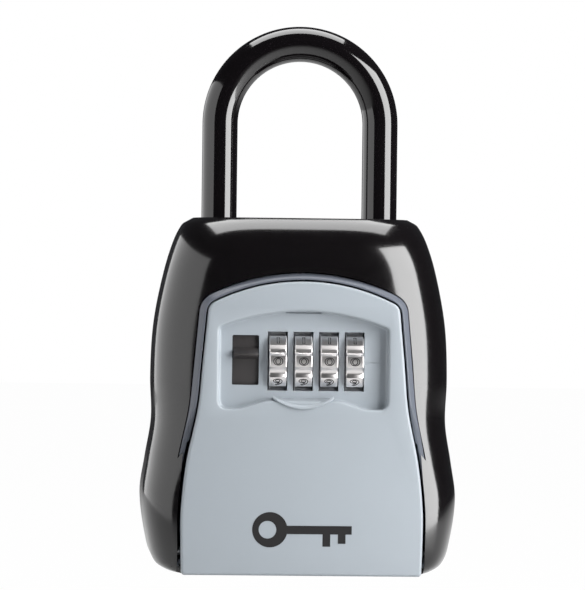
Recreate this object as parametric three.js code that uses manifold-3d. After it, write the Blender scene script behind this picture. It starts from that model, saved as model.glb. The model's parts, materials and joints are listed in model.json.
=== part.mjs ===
// Portable key lock box: a die-cast key compartment in a moulded bumper shell, closed by a hinged door
// that carries four number dials and a release slide, and hung from a pull-off vinyl-covered shackle.
// Millimetres, +Z up, the door faces -Y, origin under the middle of the body on its base.
import * as THREE from 'three';
import { mergeVertices } from 'three/addons/utils/BufferGeometryUtils.js';
import Module from 'manifold-3d';

const wasm = await Module();
wasm.setup();

// ---- driving dimensions -----------------------------------------------------------------------------
const CLEARANCE = 0.3; // between pieces that touch or slide
const BODY_WIDTH = 83;
const BODY_HEIGHT = 94;
const BODY_BACK = 25.5; // back of the shell behind the middle plane
const LIP_FRONT = -25.5; // front of the thumb pull, the foremost point
const LIP_PROUD = 0.8; // thumb pull in front of the door face
const SHELL_SETBACK = 1.3; // shell front behind the door face
const RIM_SETBACK = 0.7; // liner rim behind the door face
const SHELL_CORNER_X = 10.5; // width of the rounded front corner of the shell
const SHELL_CORNER_Y = 16; // depth of the same corner
const SHELL_CORNER_POWER = 2.4; // 2 is an ellipse, more is squarer
const SHELL_BACK_RADIUS = 7;
const CROWN = 16.9; // from the top of the body down to the peak of the door
const ARCH_RADIUS = 52; // arch over the door
const DOOR_HALF_BOTTOM = 31.3;
const DOOR_SIDE = 0.4; // door beyond the mechanism cover at its top corner
const DOOR_BOTTOM = 0.6;
const DOOR_THICKNESS = 6;
const DOOR_SKIN = 2.2; // wall of the door in front of its rear pocket
const DOOR_GAP = 1.1; // between door and liner mouth
const LINER_WALL = 1.3;
const LINER_BACK_GAP = 3.2; // shell wall behind the liner
const SHELL_FLOOR = 2.3;
const HINGE_Z = 6.5;
const HINGE_BEHIND = 8; // hinge axis behind the door face
const PIN_RADIUS = 1;
const KNUCKLE_RADIUS = 5.6; // a full heel, which closes the foot of the mouth behind the door
const FLOOR_START = 7.5; // liner and shell floors start this far behind the hinge
const RECESS_DEPTH = 3.3;
const RECESS_FLOOR_WALL = 1.8;
const RECESS_MARGIN = 2.6; // door face beside the recess
const DIAL_DROP = 20.6; // dial axis under the peak of the door
const DIAL_BEHIND = 9.5; // dial axis behind the door face
const DIAL_RADIUS = 9.3;
const DIAL_WIDTH = 4.6;
const DIAL_PITCH = 6.7;
const DIAL_COUNT = 4;
const FIRST_DIAL_X = -6.7;
const DIAL_POSITIONS = 10;
const GROOVE_DEPTH = 0.75;
const WINDOW_WIDTH = 5.2;
const WINDOW_HEIGHT = 15;
const AXLE_RADIUS = 1.5;
const HUB_BORE_RADIUS = 1.8;
const HUB_SLEEVE_RADIUS = 2.7;
const DIAL_BORE_RADIUS = 3.1;
const HUB_DISC_RADIUS = 5.25;
const HUB_DISC_WIDTH = 1;
const HUB_DISC_GAP = 0.35; // between a dial and its own disc
const GATE_WIDTH = 2.8;
const GATE_BOTTOM = 3; // radius of the bottom of the gate
const FINGER_WIDTH = 0.8;
const FINGER_TIP_HALF = 1;
const FINGER_TIP = 5.75; // height of a finger tip over the dial axis at rest
const RELEASE_TRAVEL = 2.5;
const RESET_TRAVEL = 1.5;
const BOLT_UNDER_STRIKE = 0.5; // withdrawn bolt under the strike plate
const SLIDE_X = FIRST_DIAL_X - 8.4;
const SLIDE_WINDOW_WIDTH = 7;
const SLIDE_WINDOW_HEIGHT = 13;
const BOLT_WIDTH = 4.6;
const COVER_WALL = 1.1;
const FRAME_WALL = 1.1;
const LEVER_WIDTH = 1.2;
const SHACKLE_Y = 5.4;
const SHACKLE_SPREAD = 21.4; // leg centre from the middle, and radius of the bend
const BAR_RADIUS = 4;
const SLEEVE_RADIUS = BAR_RADIUS + 0.7;
const SHACKLE_RISE = 25.4; // straight leg above the body
const LATCH_TRAVEL = 2.2;
const LATCH_DEPTH = 2.1; // depth of the notch in a shackle leg

// ---- places worked out from them --------------------------------------------------------------------
const bodyHalf = BODY_WIDTH / 2;
const faceY = LIP_FRONT + LIP_PROUD;
const shellFrontY = faceY + SHELL_SETBACK;
const rimY = faceY + RIM_SETBACK;
const doorBackY = faceY + DOOR_THICKNESS;
const hingeY = faceY + HINGE_BEHIND;
const floorStartY = hingeY + FLOOR_START;
const linerBackY = BODY_BACK - LINER_BACK_GAP;
const linerBottom = SHELL_FLOOR + CLEARANCE;
const linerFloor = linerBottom + LINER_WALL;
const doorPeak = BODY_HEIGHT - CROWN;
const axisY = faceY + DIAL_BEHIND;
const axisZ = doorPeak - DIAL_DROP;
const recessFloorY = faceY + RECESS_DEPTH;
const recessBackY = recessFloorY + RECESS_FLOOR_WALL;
const lastDialX = FIRST_DIAL_X + (DIAL_COUNT - 1) * DIAL_PITCH;
const dialBackY = axisY + DIAL_RADIUS;
const discStart = DIAL_WIDTH / 2 + HUB_DISC_GAP; // from a dial's middle to its disc
const fingerStart = discStart + (HUB_DISC_WIDTH - FINGER_WIDTH) / 2;
const counterboreDepth = discStart + HUB_DISC_WIDTH + RESET_TRAVEL + CLEARANCE + DIAL_WIDTH / 2 - DIAL_PITCH;
const bendZ = BODY_HEIGHT + SHACKLE_RISE;
const coverLeft = SLIDE_X - 6.5;
const frameRight = lastDialX + discStart + HUB_DISC_WIDTH + RESET_TRAVEL + 0.25;
const leverX = frameRight + FRAME_WALL + CLEARANCE;
const coverRight = leverX + LEVER_WIDTH + RESET_TRAVEL + CLEARANCE + COVER_WALL;
const doorHalfTop = coverRight + DOOR_SIDE;
const recessHalf = doorHalfTop - RECESS_MARGIN;

// ---- modelling helpers ------------------------------------------------------------------------------
function solid(geometry) {
  const bare = geometry.clone();
  bare.deleteAttribute('normal');
  bare.deleteAttribute('uv');
  const merged = mergeVertices(bare, 1e-4);
  return new wasm.Manifold(new wasm.Mesh({
    numProp: 3,
    vertProperties: new Float32Array(merged.attributes.position.array),
    triVerts: new Uint32Array(merged.index.array),
  }));
}

function box(x0, x1, y0, y1, z0, z1) {
  const block = new THREE.BoxGeometry(x1 - x0, y1 - y0, z1 - z0);
  block.translate((x0 + x1) / 2, (y0 + y1) / 2, (z0 + z1) / 2);
  return solid(block);
}

function rodX(x0, x1, y, z, radius, sides = 24) {
  const rod = new THREE.CylinderGeometry(radius, radius, x1 - x0, sides);
  rod.rotateZ(Math.PI / 2);
  rod.translate((x0 + x1) / 2, y, z);
  return solid(rod);
}

function rodY(x, y0, y1, z, radius, sides = 12) {
  const rod = new THREE.CylinderGeometry(radius, radius, y1 - y0, sides);
  rod.translate(x, (y0 + y1) / 2, z);
  return solid(rod);
}

function rodZ(x, y, z0, z1, radius, sides = 16) {
  const rod = new THREE.CylinderGeometry(radius, radius, z1 - z0, sides);
  rod.rotateX(Math.PI / 2);
  rod.translate(x, y, (z0 + z1) / 2);
  return solid(rod);
}

// An outline drawn in X and Z, given thickness from y0 to y1.
function slabY(points, y0, y1) {
  const shape = new THREE.Shape(points.map(([x, z]) => new THREE.Vector2(x, z)));
  const slab = new THREE.ExtrudeGeometry(shape, { depth: y1 - y0, bevelEnabled: false });
  slab.rotateX(Math.PI / 2);
  slab.translate(0, y1, 0);
  return solid(slab);
}

// An outline drawn in Y and Z, given thickness from x0 to x1.
function slabX(points, x0, x1) {
  const shape = new THREE.Shape(points.map(([y, z]) => new THREE.Vector2(y, z)));
  const slab = new THREE.ExtrudeGeometry(shape, { depth: x1 - x0, bevelEnabled: false });
  const turn = new THREE.Matrix4().makeBasis(
    new THREE.Vector3(0, 1, 0), new THREE.Vector3(0, 0, 1), new THREE.Vector3(1, 0, 0));
  slab.applyMatrix4(turn);
  slab.translate(x0, 0, 0);
  return solid(slab);
}

// A closed skin through level rings that all have the same number of points.
function loft(rings) {
  const count = rings[0].length;
  const positions = rings.flat(2);
  const index = [];
  for (let ring = 0; ring < rings.length - 1; ring++) {
    for (let i = 0; i < count; i++) {
      const a = ring * count + i;
      const b = ring * count + ((i + 1) % count);
      index.push(a, b, b + count, a, b + count, a + count);
    }
  }
  const top = (rings.length - 1) * count;
  for (let i = 1; i < count - 1; i++) {
    index.push(0, i + 1, i);
    index.push(top, top + i, top + i + 1);
  }
  const skin = new THREE.BufferGeometry();
  skin.setAttribute('position', new THREE.BufferAttribute(new Float32Array(positions), 3));
  skin.setIndex(index);
  return solid(skin);
}

// A smooth function through [place, value] pairs.
function through(pairs) {
  const slope = (i) => {
    const before = pairs[Math.max(i - 1, 0)];
    const after = pairs[Math.min(i + 1, pairs.length - 1)];
    return (after[1] - before[1]) / (after[0] - before[0]);
  };
  return (place) => {
    const last = pairs.length - 2;
    let i = 0;
    while (i < last && place > pairs[i + 1][0]) i++;
    const [x0, v0] = pairs[i];
    const [x1, v1] = pairs[i + 1];
    const span = x1 - x0;
    const t = Math.min(Math.max((place - x0) / span, 0), 1);
    const bend = t * t * (3 - 2 * t);
    const lead = (t - 2 * t * t + t * t * t) * span * slope(i);
    const trail = (t * t * t - t * t) * span * slope(i + 1);
    return v0 + (v1 - v0) * bend + lead + trail;
  };
}

const object = new THREE.Group();

function add(name, manifold, material) {
  const { vertProperties, triVerts } = manifold.getMesh();
  const geometry = new THREE.BufferGeometry();
  geometry.setAttribute('position', new THREE.BufferAttribute(new Float32Array(vertProperties), 3));
  geometry.setIndex(new THREE.BufferAttribute(new Uint32Array(triVerts), 1));
  geometry.computeVertexNormals();
  const mesh = new THREE.Mesh(geometry, new THREE.MeshStandardMaterial(material));
  mesh.name = name;
  object.add(mesh);
}

const BLACK_MOULDING = { color: 0x0f0c0d, roughness: 0.35, metalness: 0 };
const BLACK_VINYL = { color: 0x0b090a, roughness: 0.12, metalness: 0 };
const GREY_PAINT = { color: 0xb5bdc4, roughness: 0.45, metalness: 0.1 };
const RIM_PAINT = { color: 0x8f97a6, roughness: 0.45, metalness: 0.1 };
const CHARCOAL_PLASTIC = { color: 0x454141, roughness: 0.6, metalness: 0 };
const CHROME = { color: 0xd2d0ce, roughness: 0.12, metalness: 1 };
const ZINC_STEEL = { color: 0xa9abae, roughness: 0.35, metalness: 1 };
const SPRING_STEEL = { color: 0x8c8e90, roughness: 0.3, metalness: 1 };
const DIE_CAST = { color: 0x9c9fa1, roughness: 0.5, metalness: 0.9 };

// ---- outlines of the body and the door --------------------------------------------------------------
// Share of the full half width at a share of the body height: a waisted, foot-heavy body.
const bodyShare = through([
  [0, 0.737], [0.012, 0.838], [0.035, 0.913], [0.091, 0.959], [0.218, 0.998], [0.318, 0.969],
  [0.43, 0.93], [0.55, 0.938], [0.686, 0.925], [0.798, 0.884], [0.913, 0.817], [0.983, 0.747], [1, 0.687],
]);

// How far the side of the door has drawn in from its foot (0) to its top corner (1).
const doorTaper = through([
  [0, 0.04], [0.08, 0], [0.19, 0], [0.32, 0.2], [0.468, 0.62], [0.606, 0.8], [0.755, 1], [0.9, 1.15],
]);

function doorHalf(z) {
  return DOOR_HALF_BOTTOM - (DOOR_HALF_BOTTOM - doorHalfTop) * doorTaper(z / BODY_HEIGHT);
}

function archZ(x, gap) {
  const radius = ARCH_RADIUS + gap;
  return doorPeak + gap - radius + Math.sqrt(radius * radius - x * x);
}

// Outline of the door, grown by a gap that may change with height.
function mouthOutline(bottom, gapAt, sideSteps = 14, archSteps = 14) {
  const crownGap = gapAt(doorPeak);
  let cornerZ = doorPeak;
  for (let round = 0; round < 12; round++) cornerZ = archZ(doorHalf(cornerZ) + gapAt(cornerZ), crownGap);
  const cornerX = doorHalf(cornerZ) + gapAt(cornerZ);
  const right = [];
  for (let i = 0; i < sideSteps; i++) {
    const z = bottom + ((cornerZ - bottom) * i) / sideSteps;
    right.push([doorHalf(z) + gapAt(z), z]);
  }
  const arch = [];
  for (let i = 0; i <= archSteps; i++) {
    const x = cornerX * (1 - (2 * i) / archSteps);
    arch.push([x, archZ(x, crownGap)]);
  }
  const left = right.map(([x, z]) => [-x, z]).reverse();
  return [...right, ...arch, ...left];
}

// Depth lost towards an end of the body, as a quarter ellipse.
function roundOff(distance, length, depth) {
  const t = Math.min(Math.max(distance / length, 0), 1);
  return depth * (1 - Math.sqrt(1 - t * t));
}

function shellRing(z) {
  const half = bodyHalf * bodyShare(z / BODY_HEIGHT);
  const front = shellFrontY + roundOff(z - (BODY_HEIGHT - 14), 15.5, 12) + roundOff(8 - z, 8.6, 5);
  const back = BODY_BACK - roundOff(z - (BODY_HEIGHT - 10), 11, 9) - roundOff(6 - z, 6.5, 6);
  const backRadius = SHELL_BACK_RADIUS;
  const corners = [
    [half - SHELL_CORNER_X, front + SHELL_CORNER_Y, SHELL_CORNER_X, SHELL_CORNER_Y, SHELL_CORNER_POWER, -90],
    [half - backRadius, back - backRadius, backRadius, backRadius, 2, 0],
    [-half + backRadius, back - backRadius, backRadius, backRadius, 2, 90],
    [-half + SHELL_CORNER_X, front + SHELL_CORNER_Y, SHELL_CORNER_X, SHELL_CORNER_Y, SHELL_CORNER_POWER, 180],
  ];
  const steps = 7;
  const ring = [];
  const bend = (share, power) => Math.sign(share) * Math.abs(share) ** (2 / power);
  for (const [x, y, rx, ry, power, start] of corners) {
    for (let i = 0; i <= steps; i++) {
      const angle = THREE.MathUtils.degToRad(start + (90 * i) / steps);
      ring.push([x + rx * bend(Math.cos(angle), power), y + ry * bend(Math.sin(angle), power), z]);
    }
  }
  return ring;
}

// ---- case: shell, compartment and what is fixed in them ---------------------------------------------
const RIM_FADE_LOW = 0.255; // share of the height where the rim has gone under the shell
const RIM_FADE_HIGH = 0.49; // share of the height where the rim is at its full width
const RIM_BURIED = 5.2; // how far the liner edge lies back where the shell covers it
const linerOutside = DOOR_GAP + LINER_WALL;

function linerBlock(grow) {
  const low = BODY_HEIGHT * RIM_FADE_LOW;
  const high = BODY_HEIGHT * RIM_FADE_HIGH;
  const block = slabY(mouthOutline(linerBottom - grow, () => linerOutside + grow),
    rimY - grow, linerBackY + grow);
  const front = rimY - grow - 5;
  const buried = rimY + RIM_BURIED - grow;
  const wedge = slabX(
    [[front, -5], [buried, -5], [buried, low], [rimY - grow - 0.1, high], [front, high]],
    -BODY_WIDTH, BODY_WIDTH);
  return block.subtract(wedge);
}

const hingeCut = box(-DOOR_HALF_BOTTOM - DOOR_GAP, DOOR_HALF_BOTTOM + DOOR_GAP, LIP_FRONT - 5, floorStartY,
  -5, HINGE_Z + KNUCKLE_RADIUS + 3);

function shellGap(z) {
  const low = BODY_HEIGHT * RIM_FADE_LOW;
  const high = BODY_HEIGHT * RIM_FADE_HIGH;
  const open = THREE.MathUtils.smoothstep(z, low, high);
  return DOOR_GAP + (linerOutside + CLEARANCE - DOOR_GAP) * open;
}

const SOCKET_RADIUS = SLEEVE_RADIUS + 1.2;
const shellLevels = [0, 0.006, 0.014, 0.03, 0.055, 0.09, 0.15, 0.22, 0.29, 0.36, 0.43, 0.5, 0.58, 0.66, 0.73,
  0.8, 0.855, 0.9, 0.935, 0.96, 0.98, 0.993, 1];
let bumper = loft(shellLevels.map((share) => shellRing(share * BODY_HEIGHT)))
  .subtract(linerBlock(CLEARANCE))
  .subtract(slabY(mouthOutline(-5, shellGap), LIP_FRONT - 5, rimY + RIM_BURIED + CLEARANCE))
  .subtract(hingeCut);
for (const side of [-1, 1]) {
  bumper = bumper.subtract(rodZ(side * SHACKLE_SPREAD, SHACKLE_Y, doorPeak - 12, BODY_HEIGHT + 5,
    SOCKET_RADIUS + CLEARANCE, 24));
}

const housingHalf = doorHalf(doorPeak - 10) + DOOR_GAP - 0.8;
const housingTop = doorPeak - 8;
const housingBottom = housingTop - 12;
const housingFrontY = SHACKLE_Y - BAR_RADIUS - 1.1;
const housingBackY = SHACKLE_Y + BAR_RADIUS + LATCH_TRAVEL + 3.2;
const latchZ = housingBottom + 5;
const LATCH_THICKNESS = 2.6;
const footZ = housingBottom + 1.2;
const SCREW_RADIUS = 1.1;
const HEAD_RADIUS = 2.1;
const HEAD_HEIGHT = 1.2;
const DRIVE_DEPTH = 0.6; // cross recess in a screw head
const DRIVE_LONG = 1.3;
const DRIVE_SHORT = 0.3;

// A pan-head screw along Y. Its head's outer face is at headY and its shank runs the way of reach.
function screwY(x, z, headY, reach) {
  const way = Math.sign(reach);
  const span = (near, far) => [Math.min(near, far), Math.max(near, far)];
  const [headLow, headHigh] = span(headY, headY + way * HEAD_HEIGHT);
  const [shankLow, shankHigh] = span(headY + way * DRIVE_DEPTH, headY + reach);
  const [driveLow, driveHigh] = span(headY - way, headY + way * DRIVE_DEPTH);
  return rodY(x, headLow, headHigh, z, HEAD_RADIUS)
    .add(rodY(x, shankLow, shankHigh, z, SCREW_RADIUS))
    .subtract(box(x - DRIVE_LONG, x + DRIVE_LONG, driveLow, driveHigh, z - DRIVE_SHORT, z + DRIVE_SHORT))
    .subtract(box(x - DRIVE_SHORT, x + DRIVE_SHORT, driveLow, driveHigh, z - DRIVE_LONG, z + DRIVE_LONG));
}

const housingScrewX = SHACKLE_SPREAD - BAR_RADIUS - 5.5;
const housingScrewZ = housingBottom + 2.4;
const linerScrewX = 14;
const linerScrewLow = 14;
const linerScrewHigh = housingBottom - 14;
const linerScrews = [];
for (const x of [-linerScrewX, linerScrewX]) {
  for (const z of [linerScrewLow, linerScrewHigh]) linerScrews.push([x, z]);
}
const compartmentBackY = linerBackY - LINER_WALL; // inner face of the compartment's back wall
const BOSS_HEIGHT = 1.5; // screw bosses on that wall
const SHELL_BITE = 1.9; // depth of the liner screws in the shell

const STRIKE_HALF = 6;
const strikeBottom = doorPeak - 4.6;
const strikeTop = archZ(STRIKE_HALF, DOOR_GAP) - CLEARANCE;
const strikeFrontY = doorBackY + CLEARANCE;
const STRIKE_THICKNESS = 1.8;
const STRIKE_ROOF = 1.4;
const strikeBackY = strikeFrontY + 14;
const strikeScrewY = strikeBackY - 3.5;

const innerMouth = mouthOutline(linerFloor, () => DOOR_GAP);
const screwBoss = (x, z) => rodY(x, compartmentBackY - BOSS_HEIGHT, linerBackY, z, HEAD_RADIUS + 1.3);
const pinHole = rodX(-BODY_WIDTH, BODY_WIDTH, hingeY, HINGE_Z, PIN_RADIUS + CLEARANCE, 12);
let liner = linerBlock(0)
  .subtract(slabY(innerMouth, LIP_FRONT - 5, compartmentBackY))
  .subtract(box(-DOOR_HALF_BOTTOM - 0.5, DOOR_HALF_BOTTOM + 0.5, LIP_FRONT - 5, floorStartY,
    -5, HINGE_Z + KNUCKLE_RADIUS + 3))
  .subtract(pinHole);
for (const [x, z] of linerScrews) {
  liner = liner.add(screwBoss(x, z))
    .subtract(rodY(x, compartmentBackY - 5, linerBackY + 5, z, SCREW_RADIUS + CLEARANCE));
  bumper = bumper.subtract(rodY(x, linerBackY - 2, linerBackY + SHELL_BITE, z, SCREW_RADIUS + CLEARANCE));
}
for (const side of [-1, 1]) {
  liner = liner.subtract(rodZ(side * SHACKLE_SPREAD, SHACKLE_Y, housingTop - 2, BODY_HEIGHT,
    BAR_RADIUS + CLEARANCE, 24));
}
liner = liner.subtract(rodZ(0, strikeScrewY, strikeBottom, BODY_HEIGHT, SCREW_RADIUS + CLEARANCE, 12));
bumper = bumper.subtract(rodZ(0, strikeScrewY, doorPeak, doorPeak + 9, SCREW_RADIUS + CLEARANCE, 12));
add('bumper_shell', bumper, BLACK_MOULDING);
add('compartment_liner', liner, RIM_PAINT);

const strike = box(-STRIKE_HALF, STRIKE_HALF, strikeFrontY, strikeFrontY + STRIKE_THICKNESS,
  strikeBottom, strikeTop)
  .add(box(-STRIKE_HALF, STRIKE_HALF, strikeFrontY, strikeBackY, strikeTop - STRIKE_ROOF, strikeTop))
  .subtract(rodZ(0, strikeScrewY, strikeBottom, strikeTop + 5, SCREW_RADIUS + CLEARANCE, 12));
add('strike_plate', strike, ZINC_STEEL);
const strikeHeadZ = strikeTop - STRIKE_ROOF - CLEARANCE;
const strikeDriveZ = strikeHeadZ - HEAD_HEIGHT + DRIVE_DEPTH;
add('strike_screw', rodZ(0, strikeScrewY, strikeHeadZ - HEAD_HEIGHT, strikeHeadZ, HEAD_RADIUS, 12)
  .add(rodZ(0, strikeScrewY, strikeDriveZ, doorPeak + 7.5, SCREW_RADIUS, 12))
  .subtract(box(-DRIVE_LONG, DRIVE_LONG, strikeScrewY - DRIVE_SHORT, strikeScrewY + DRIVE_SHORT,
    strikeDriveZ - 3, strikeDriveZ))
  .subtract(box(-DRIVE_SHORT, DRIVE_SHORT, strikeScrewY - DRIVE_LONG, strikeScrewY + DRIVE_LONG,
    strikeDriveZ - 3, strikeDriveZ)), ZINC_STEEL);

linerScrews.forEach(([x, z], i) => {
  const headY = compartmentBackY - BOSS_HEIGHT - CLEARANCE - HEAD_HEIGHT;
  add(`liner_screw_${i + 1}`, screwY(x, z, headY, linerBackY + SHELL_BITE - CLEARANCE - headY), ZINC_STEEL);
});

const pinHalf = DOOR_HALF_BOTTOM + DOOR_GAP + LINER_WALL - 0.6;
add('hinge_pin', rodX(-pinHalf, pinHalf, hingeY, HINGE_Z, PIN_RADIUS, 12), ZINC_STEEL);

const socketLedge = BODY_HEIGHT - 5; // the vinyl sleeve ends on this ledge
const socketBottom = archZ(SHACKLE_SPREAD - SOCKET_RADIUS, linerOutside) + CLEARANCE + 0.2;
for (const [side, name] of [[-1, 'left'], [1, 'right']]) {
  const x = side * SHACKLE_SPREAD;
  add(`shackle_socket_${name}`, rodZ(x, SHACKLE_Y, socketBottom, BODY_HEIGHT - 0.3, SOCKET_RADIUS, 24)
    .subtract(rodZ(x, SHACKLE_Y, socketLedge, BODY_HEIGHT + 5, SLEEVE_RADIUS + CLEARANCE, 24))
    .subtract(rodZ(x, SHACKLE_Y, socketBottom - 5, BODY_HEIGHT, BAR_RADIUS + CLEARANCE, 24)), BLACK_MOULDING);
}

// ---- shackle and its latch --------------------------------------------------------------------------
class Hoop extends THREE.Curve {
  constructor(foot) {
    super();
    this.leg = bendZ - foot;
    this.foot = foot;
  }

  getPoint(t) {
    const bend = Math.PI * SHACKLE_SPREAD;
    const along = t * (2 * this.leg + bend);
    if (along < this.leg) return new THREE.Vector3(SHACKLE_SPREAD, SHACKLE_Y, this.foot + along);
    if (along > this.leg + bend) {
      return new THREE.Vector3(-SHACKLE_SPREAD, SHACKLE_Y, bendZ - (along - this.leg - bend));
    }
    const angle = (along - this.leg) / SHACKLE_SPREAD;
    const across = SHACKLE_SPREAD * Math.cos(angle);
    return new THREE.Vector3(across, SHACKLE_Y, bendZ + SHACKLE_SPREAD * Math.sin(angle));
  }
}

function hoop(foot, radius, steps) {
  const ring = new THREE.Shape();
  const sides = 12;
  for (let i = 0; i < sides; i++) {
    const angle = (2 * Math.PI * i) / sides;
    const x = radius * Math.cos(angle);
    const y = radius * Math.sin(angle);
    if (i === 0) ring.moveTo(x, y);
    else ring.lineTo(x, y);
  }
  return solid(new THREE.ExtrudeGeometry(ring, { steps, extrudePath: new Hoop(foot) }));
}

let bar = hoop(footZ, BAR_RADIUS, 44);
for (const side of [-1, 1]) {
  bar = bar.subtract(box(side * SHACKLE_SPREAD - 6, side * SHACKLE_SPREAD + 6,
    SHACKLE_Y + BAR_RADIUS - LATCH_DEPTH, SHACKLE_Y + 10,
    latchZ - CLEARANCE, latchZ + LATCH_THICKNESS + CLEARANCE));
}
add('shackle_bar', bar, ZINC_STEEL);
const sleeveFoot = socketLedge + CLEARANCE;
add('shackle_sleeve', hoop(sleeveFoot, SLEEVE_RADIUS, 30)
  .subtract(hoop(sleeveFoot - 4, BAR_RADIUS + CLEARANCE, 32)), BLACK_VINYL);

const latchBackY = SHACKLE_Y + BAR_RADIUS + 0.2;
const LATCH_PLATE = 2.4;
const latchHalf = housingHalf - 1.6;
const TAB_HALF = 6;
const latchTabZ = housingBottom - 4;
const latchTop = latchZ + LATCH_THICKNESS;
const latch = box(-latchHalf, latchHalf, latchBackY, latchBackY + LATCH_PLATE, latchZ, latchTop)
  .add(box(-TAB_HALF, TAB_HALF, latchBackY, latchBackY + LATCH_PLATE, latchTabZ, latchTop));
add('shackle_latch', latch, CHARCOAL_PLASTIC);

let housing = box(-housingHalf, housingHalf, housingFrontY, housingBackY, housingBottom, housingTop)
  .subtract(box(-latchHalf - CLEARANCE, latchHalf + CLEARANCE, latchBackY - LATCH_TRAVEL - CLEARANCE,
    housingBackY - 0.8, latchZ - CLEARANCE, latchZ + LATCH_THICKNESS + CLEARANCE))
  .subtract(box(-TAB_HALF - CLEARANCE, TAB_HALF + CLEARANCE, latchBackY - LATCH_TRAVEL - CLEARANCE,
    housingBackY + 5, housingBottom - 5, latchZ));
for (const side of [-1, 1]) {
  housing = housing
    .subtract(rodZ(side * SHACKLE_SPREAD, SHACKLE_Y, footZ - CLEARANCE, housingTop + 5,
      BAR_RADIUS + CLEARANCE, 24))
    .subtract(rodY(side * housingScrewX, housingFrontY - 5, housingBackY + 5, housingScrewZ,
      SCREW_RADIUS + CLEARANCE))
    .subtract(rodY(side * housingScrewX, housingFrontY - 5, housingFrontY + HEAD_HEIGHT + 0.5, housingScrewZ,
      HEAD_RADIUS + CLEARANCE));
}
add('latch_housing', housing, CHARCOAL_PLASTIC);
[-1, 1].forEach((side, i) => {
  add(`latch_housing_screw_${i + 1}`, screwY(side * housingScrewX, housingScrewZ,
    housingFrontY + 0.2, 12), ZINC_STEEL);
});
const leafStart = latchBackY + LATCH_PLATE + CLEARANCE;
add('latch_spring', box(-latchHalf + 4, latchHalf - 4, leafStart, leafStart + 0.4, latchZ + 0.3,
  latchZ + LATCH_THICKNESS - 0.3), SPRING_STEEL);

// ---- door -------------------------------------------------------------------------------------------
const recessTop = doorPeak - 7.5;
const recessShoulder = doorPeak - 11.9;
const recessBottom = doorPeak - 33.2;
const LIP_HALF = 8;
const lipBottom = recessBottom;
const lipTop = recessBottom + 2.8;

function recessOutline() {
  const rise = recessTop - recessShoulder;
  const radius = (recessHalf * recessHalf + rise * rise) / (2 * rise);
  const points = [[-recessHalf, recessBottom], [-LIP_HALF, lipTop - 0.6], [LIP_HALF, lipTop - 0.6],
    [recessHalf, recessBottom]];
  const steps = 10;
  for (let i = 0; i <= steps; i++) {
    const x = recessHalf * (1 - (2 * i) / steps);
    points.push([x, recessTop - radius + Math.sqrt(radius * radius - x * x)]);
  }
  return points;
}

// A lens-shaped thumb pull on the lower edge of the recess.
function lipOutline() {
  const points = [];
  const steps = 10;
  for (let i = 0; i <= steps; i++) {
    const x = LIP_HALF * (1 - (2 * i) / steps);
    points.push([x, lipTop - 0.2]);
  }
  for (let i = 1; i < steps; i++) {
    const x = LIP_HALF * ((2 * i) / steps - 1);
    points.push([x, lipTop - 0.6 - (lipTop - lipBottom - 0.6) * (1 - (x / LIP_HALF) ** 2)]);
  }
  return points;
}

const coverBottom = axisZ - 12.6;
const coverTop = axisZ + 11.8;
const combY = dialBackY + 0.5;
const COMB_THICKNESS = 1.2;
const tailY = combY + COMB_THICKNESS + CLEARANCE;
const TAIL_THICKNESS = 1.2;
const coverY = tailY + TAIL_THICKNESS + 0.4;
const coverBackY = coverY + COVER_WALL;
const slidePlateY = recessFloorY + 1.1;
const SLIDE_PLATE = 1.4;
const slideWindowZ = axisZ + 0.2;

const pocketFront = faceY + DOOR_SKIN;
const pocketTop = coverBottom - 6;
const pocketBottom = HINGE_Z + KNUCKLE_RADIUS + 1;

// The hollow in the back of the lower door, inside its side walls.
function pocketOutline() {
  const right = [];
  const steps = 8;
  for (let i = 0; i <= steps; i++) {
    const z = pocketBottom + ((pocketTop - pocketBottom) * i) / steps;
    right.push([doorHalf(z) - 3, z]);
  }
  return [...right, ...right.map(([x, z]) => [-x, z]).reverse()];
}

const windowCuts = [];
const dialXs = [];
for (let i = 0; i < DIAL_COUNT; i++) {
  const x = FIRST_DIAL_X + i * DIAL_PITCH;
  dialXs.push(x);
  windowCuts.push(box(x - WINDOW_WIDTH / 2, x + WINDOW_WIDTH / 2, faceY - 5, doorBackY + 1,
    axisZ - WINDOW_HEIGHT / 2, axisZ + WINDOW_HEIGHT / 2));
  windowCuts.push(rodX(x - WINDOW_WIDTH / 2, x + WINDOW_WIDTH / 2, axisY, axisZ, DIAL_RADIUS + 0.6, 40));
}

const COVER_TAB = 1.2; // thickness of the cover's screw tabs
const tabBackY = doorBackY + CLEARANCE + COVER_TAB;
const upperTabX = [-12.2, lastDialX]; // between the fence fingers
const lowerTabX = [-14, 14];
const coverScrews = [
  ...upperTabX.map((x) => [x, coverTop + 3.4]),
  ...lowerTabX.map((x) => [x, coverBottom - 2.5]),
];
const SCREW_BITE = 3; // depth of the cover screws in the door

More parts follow.
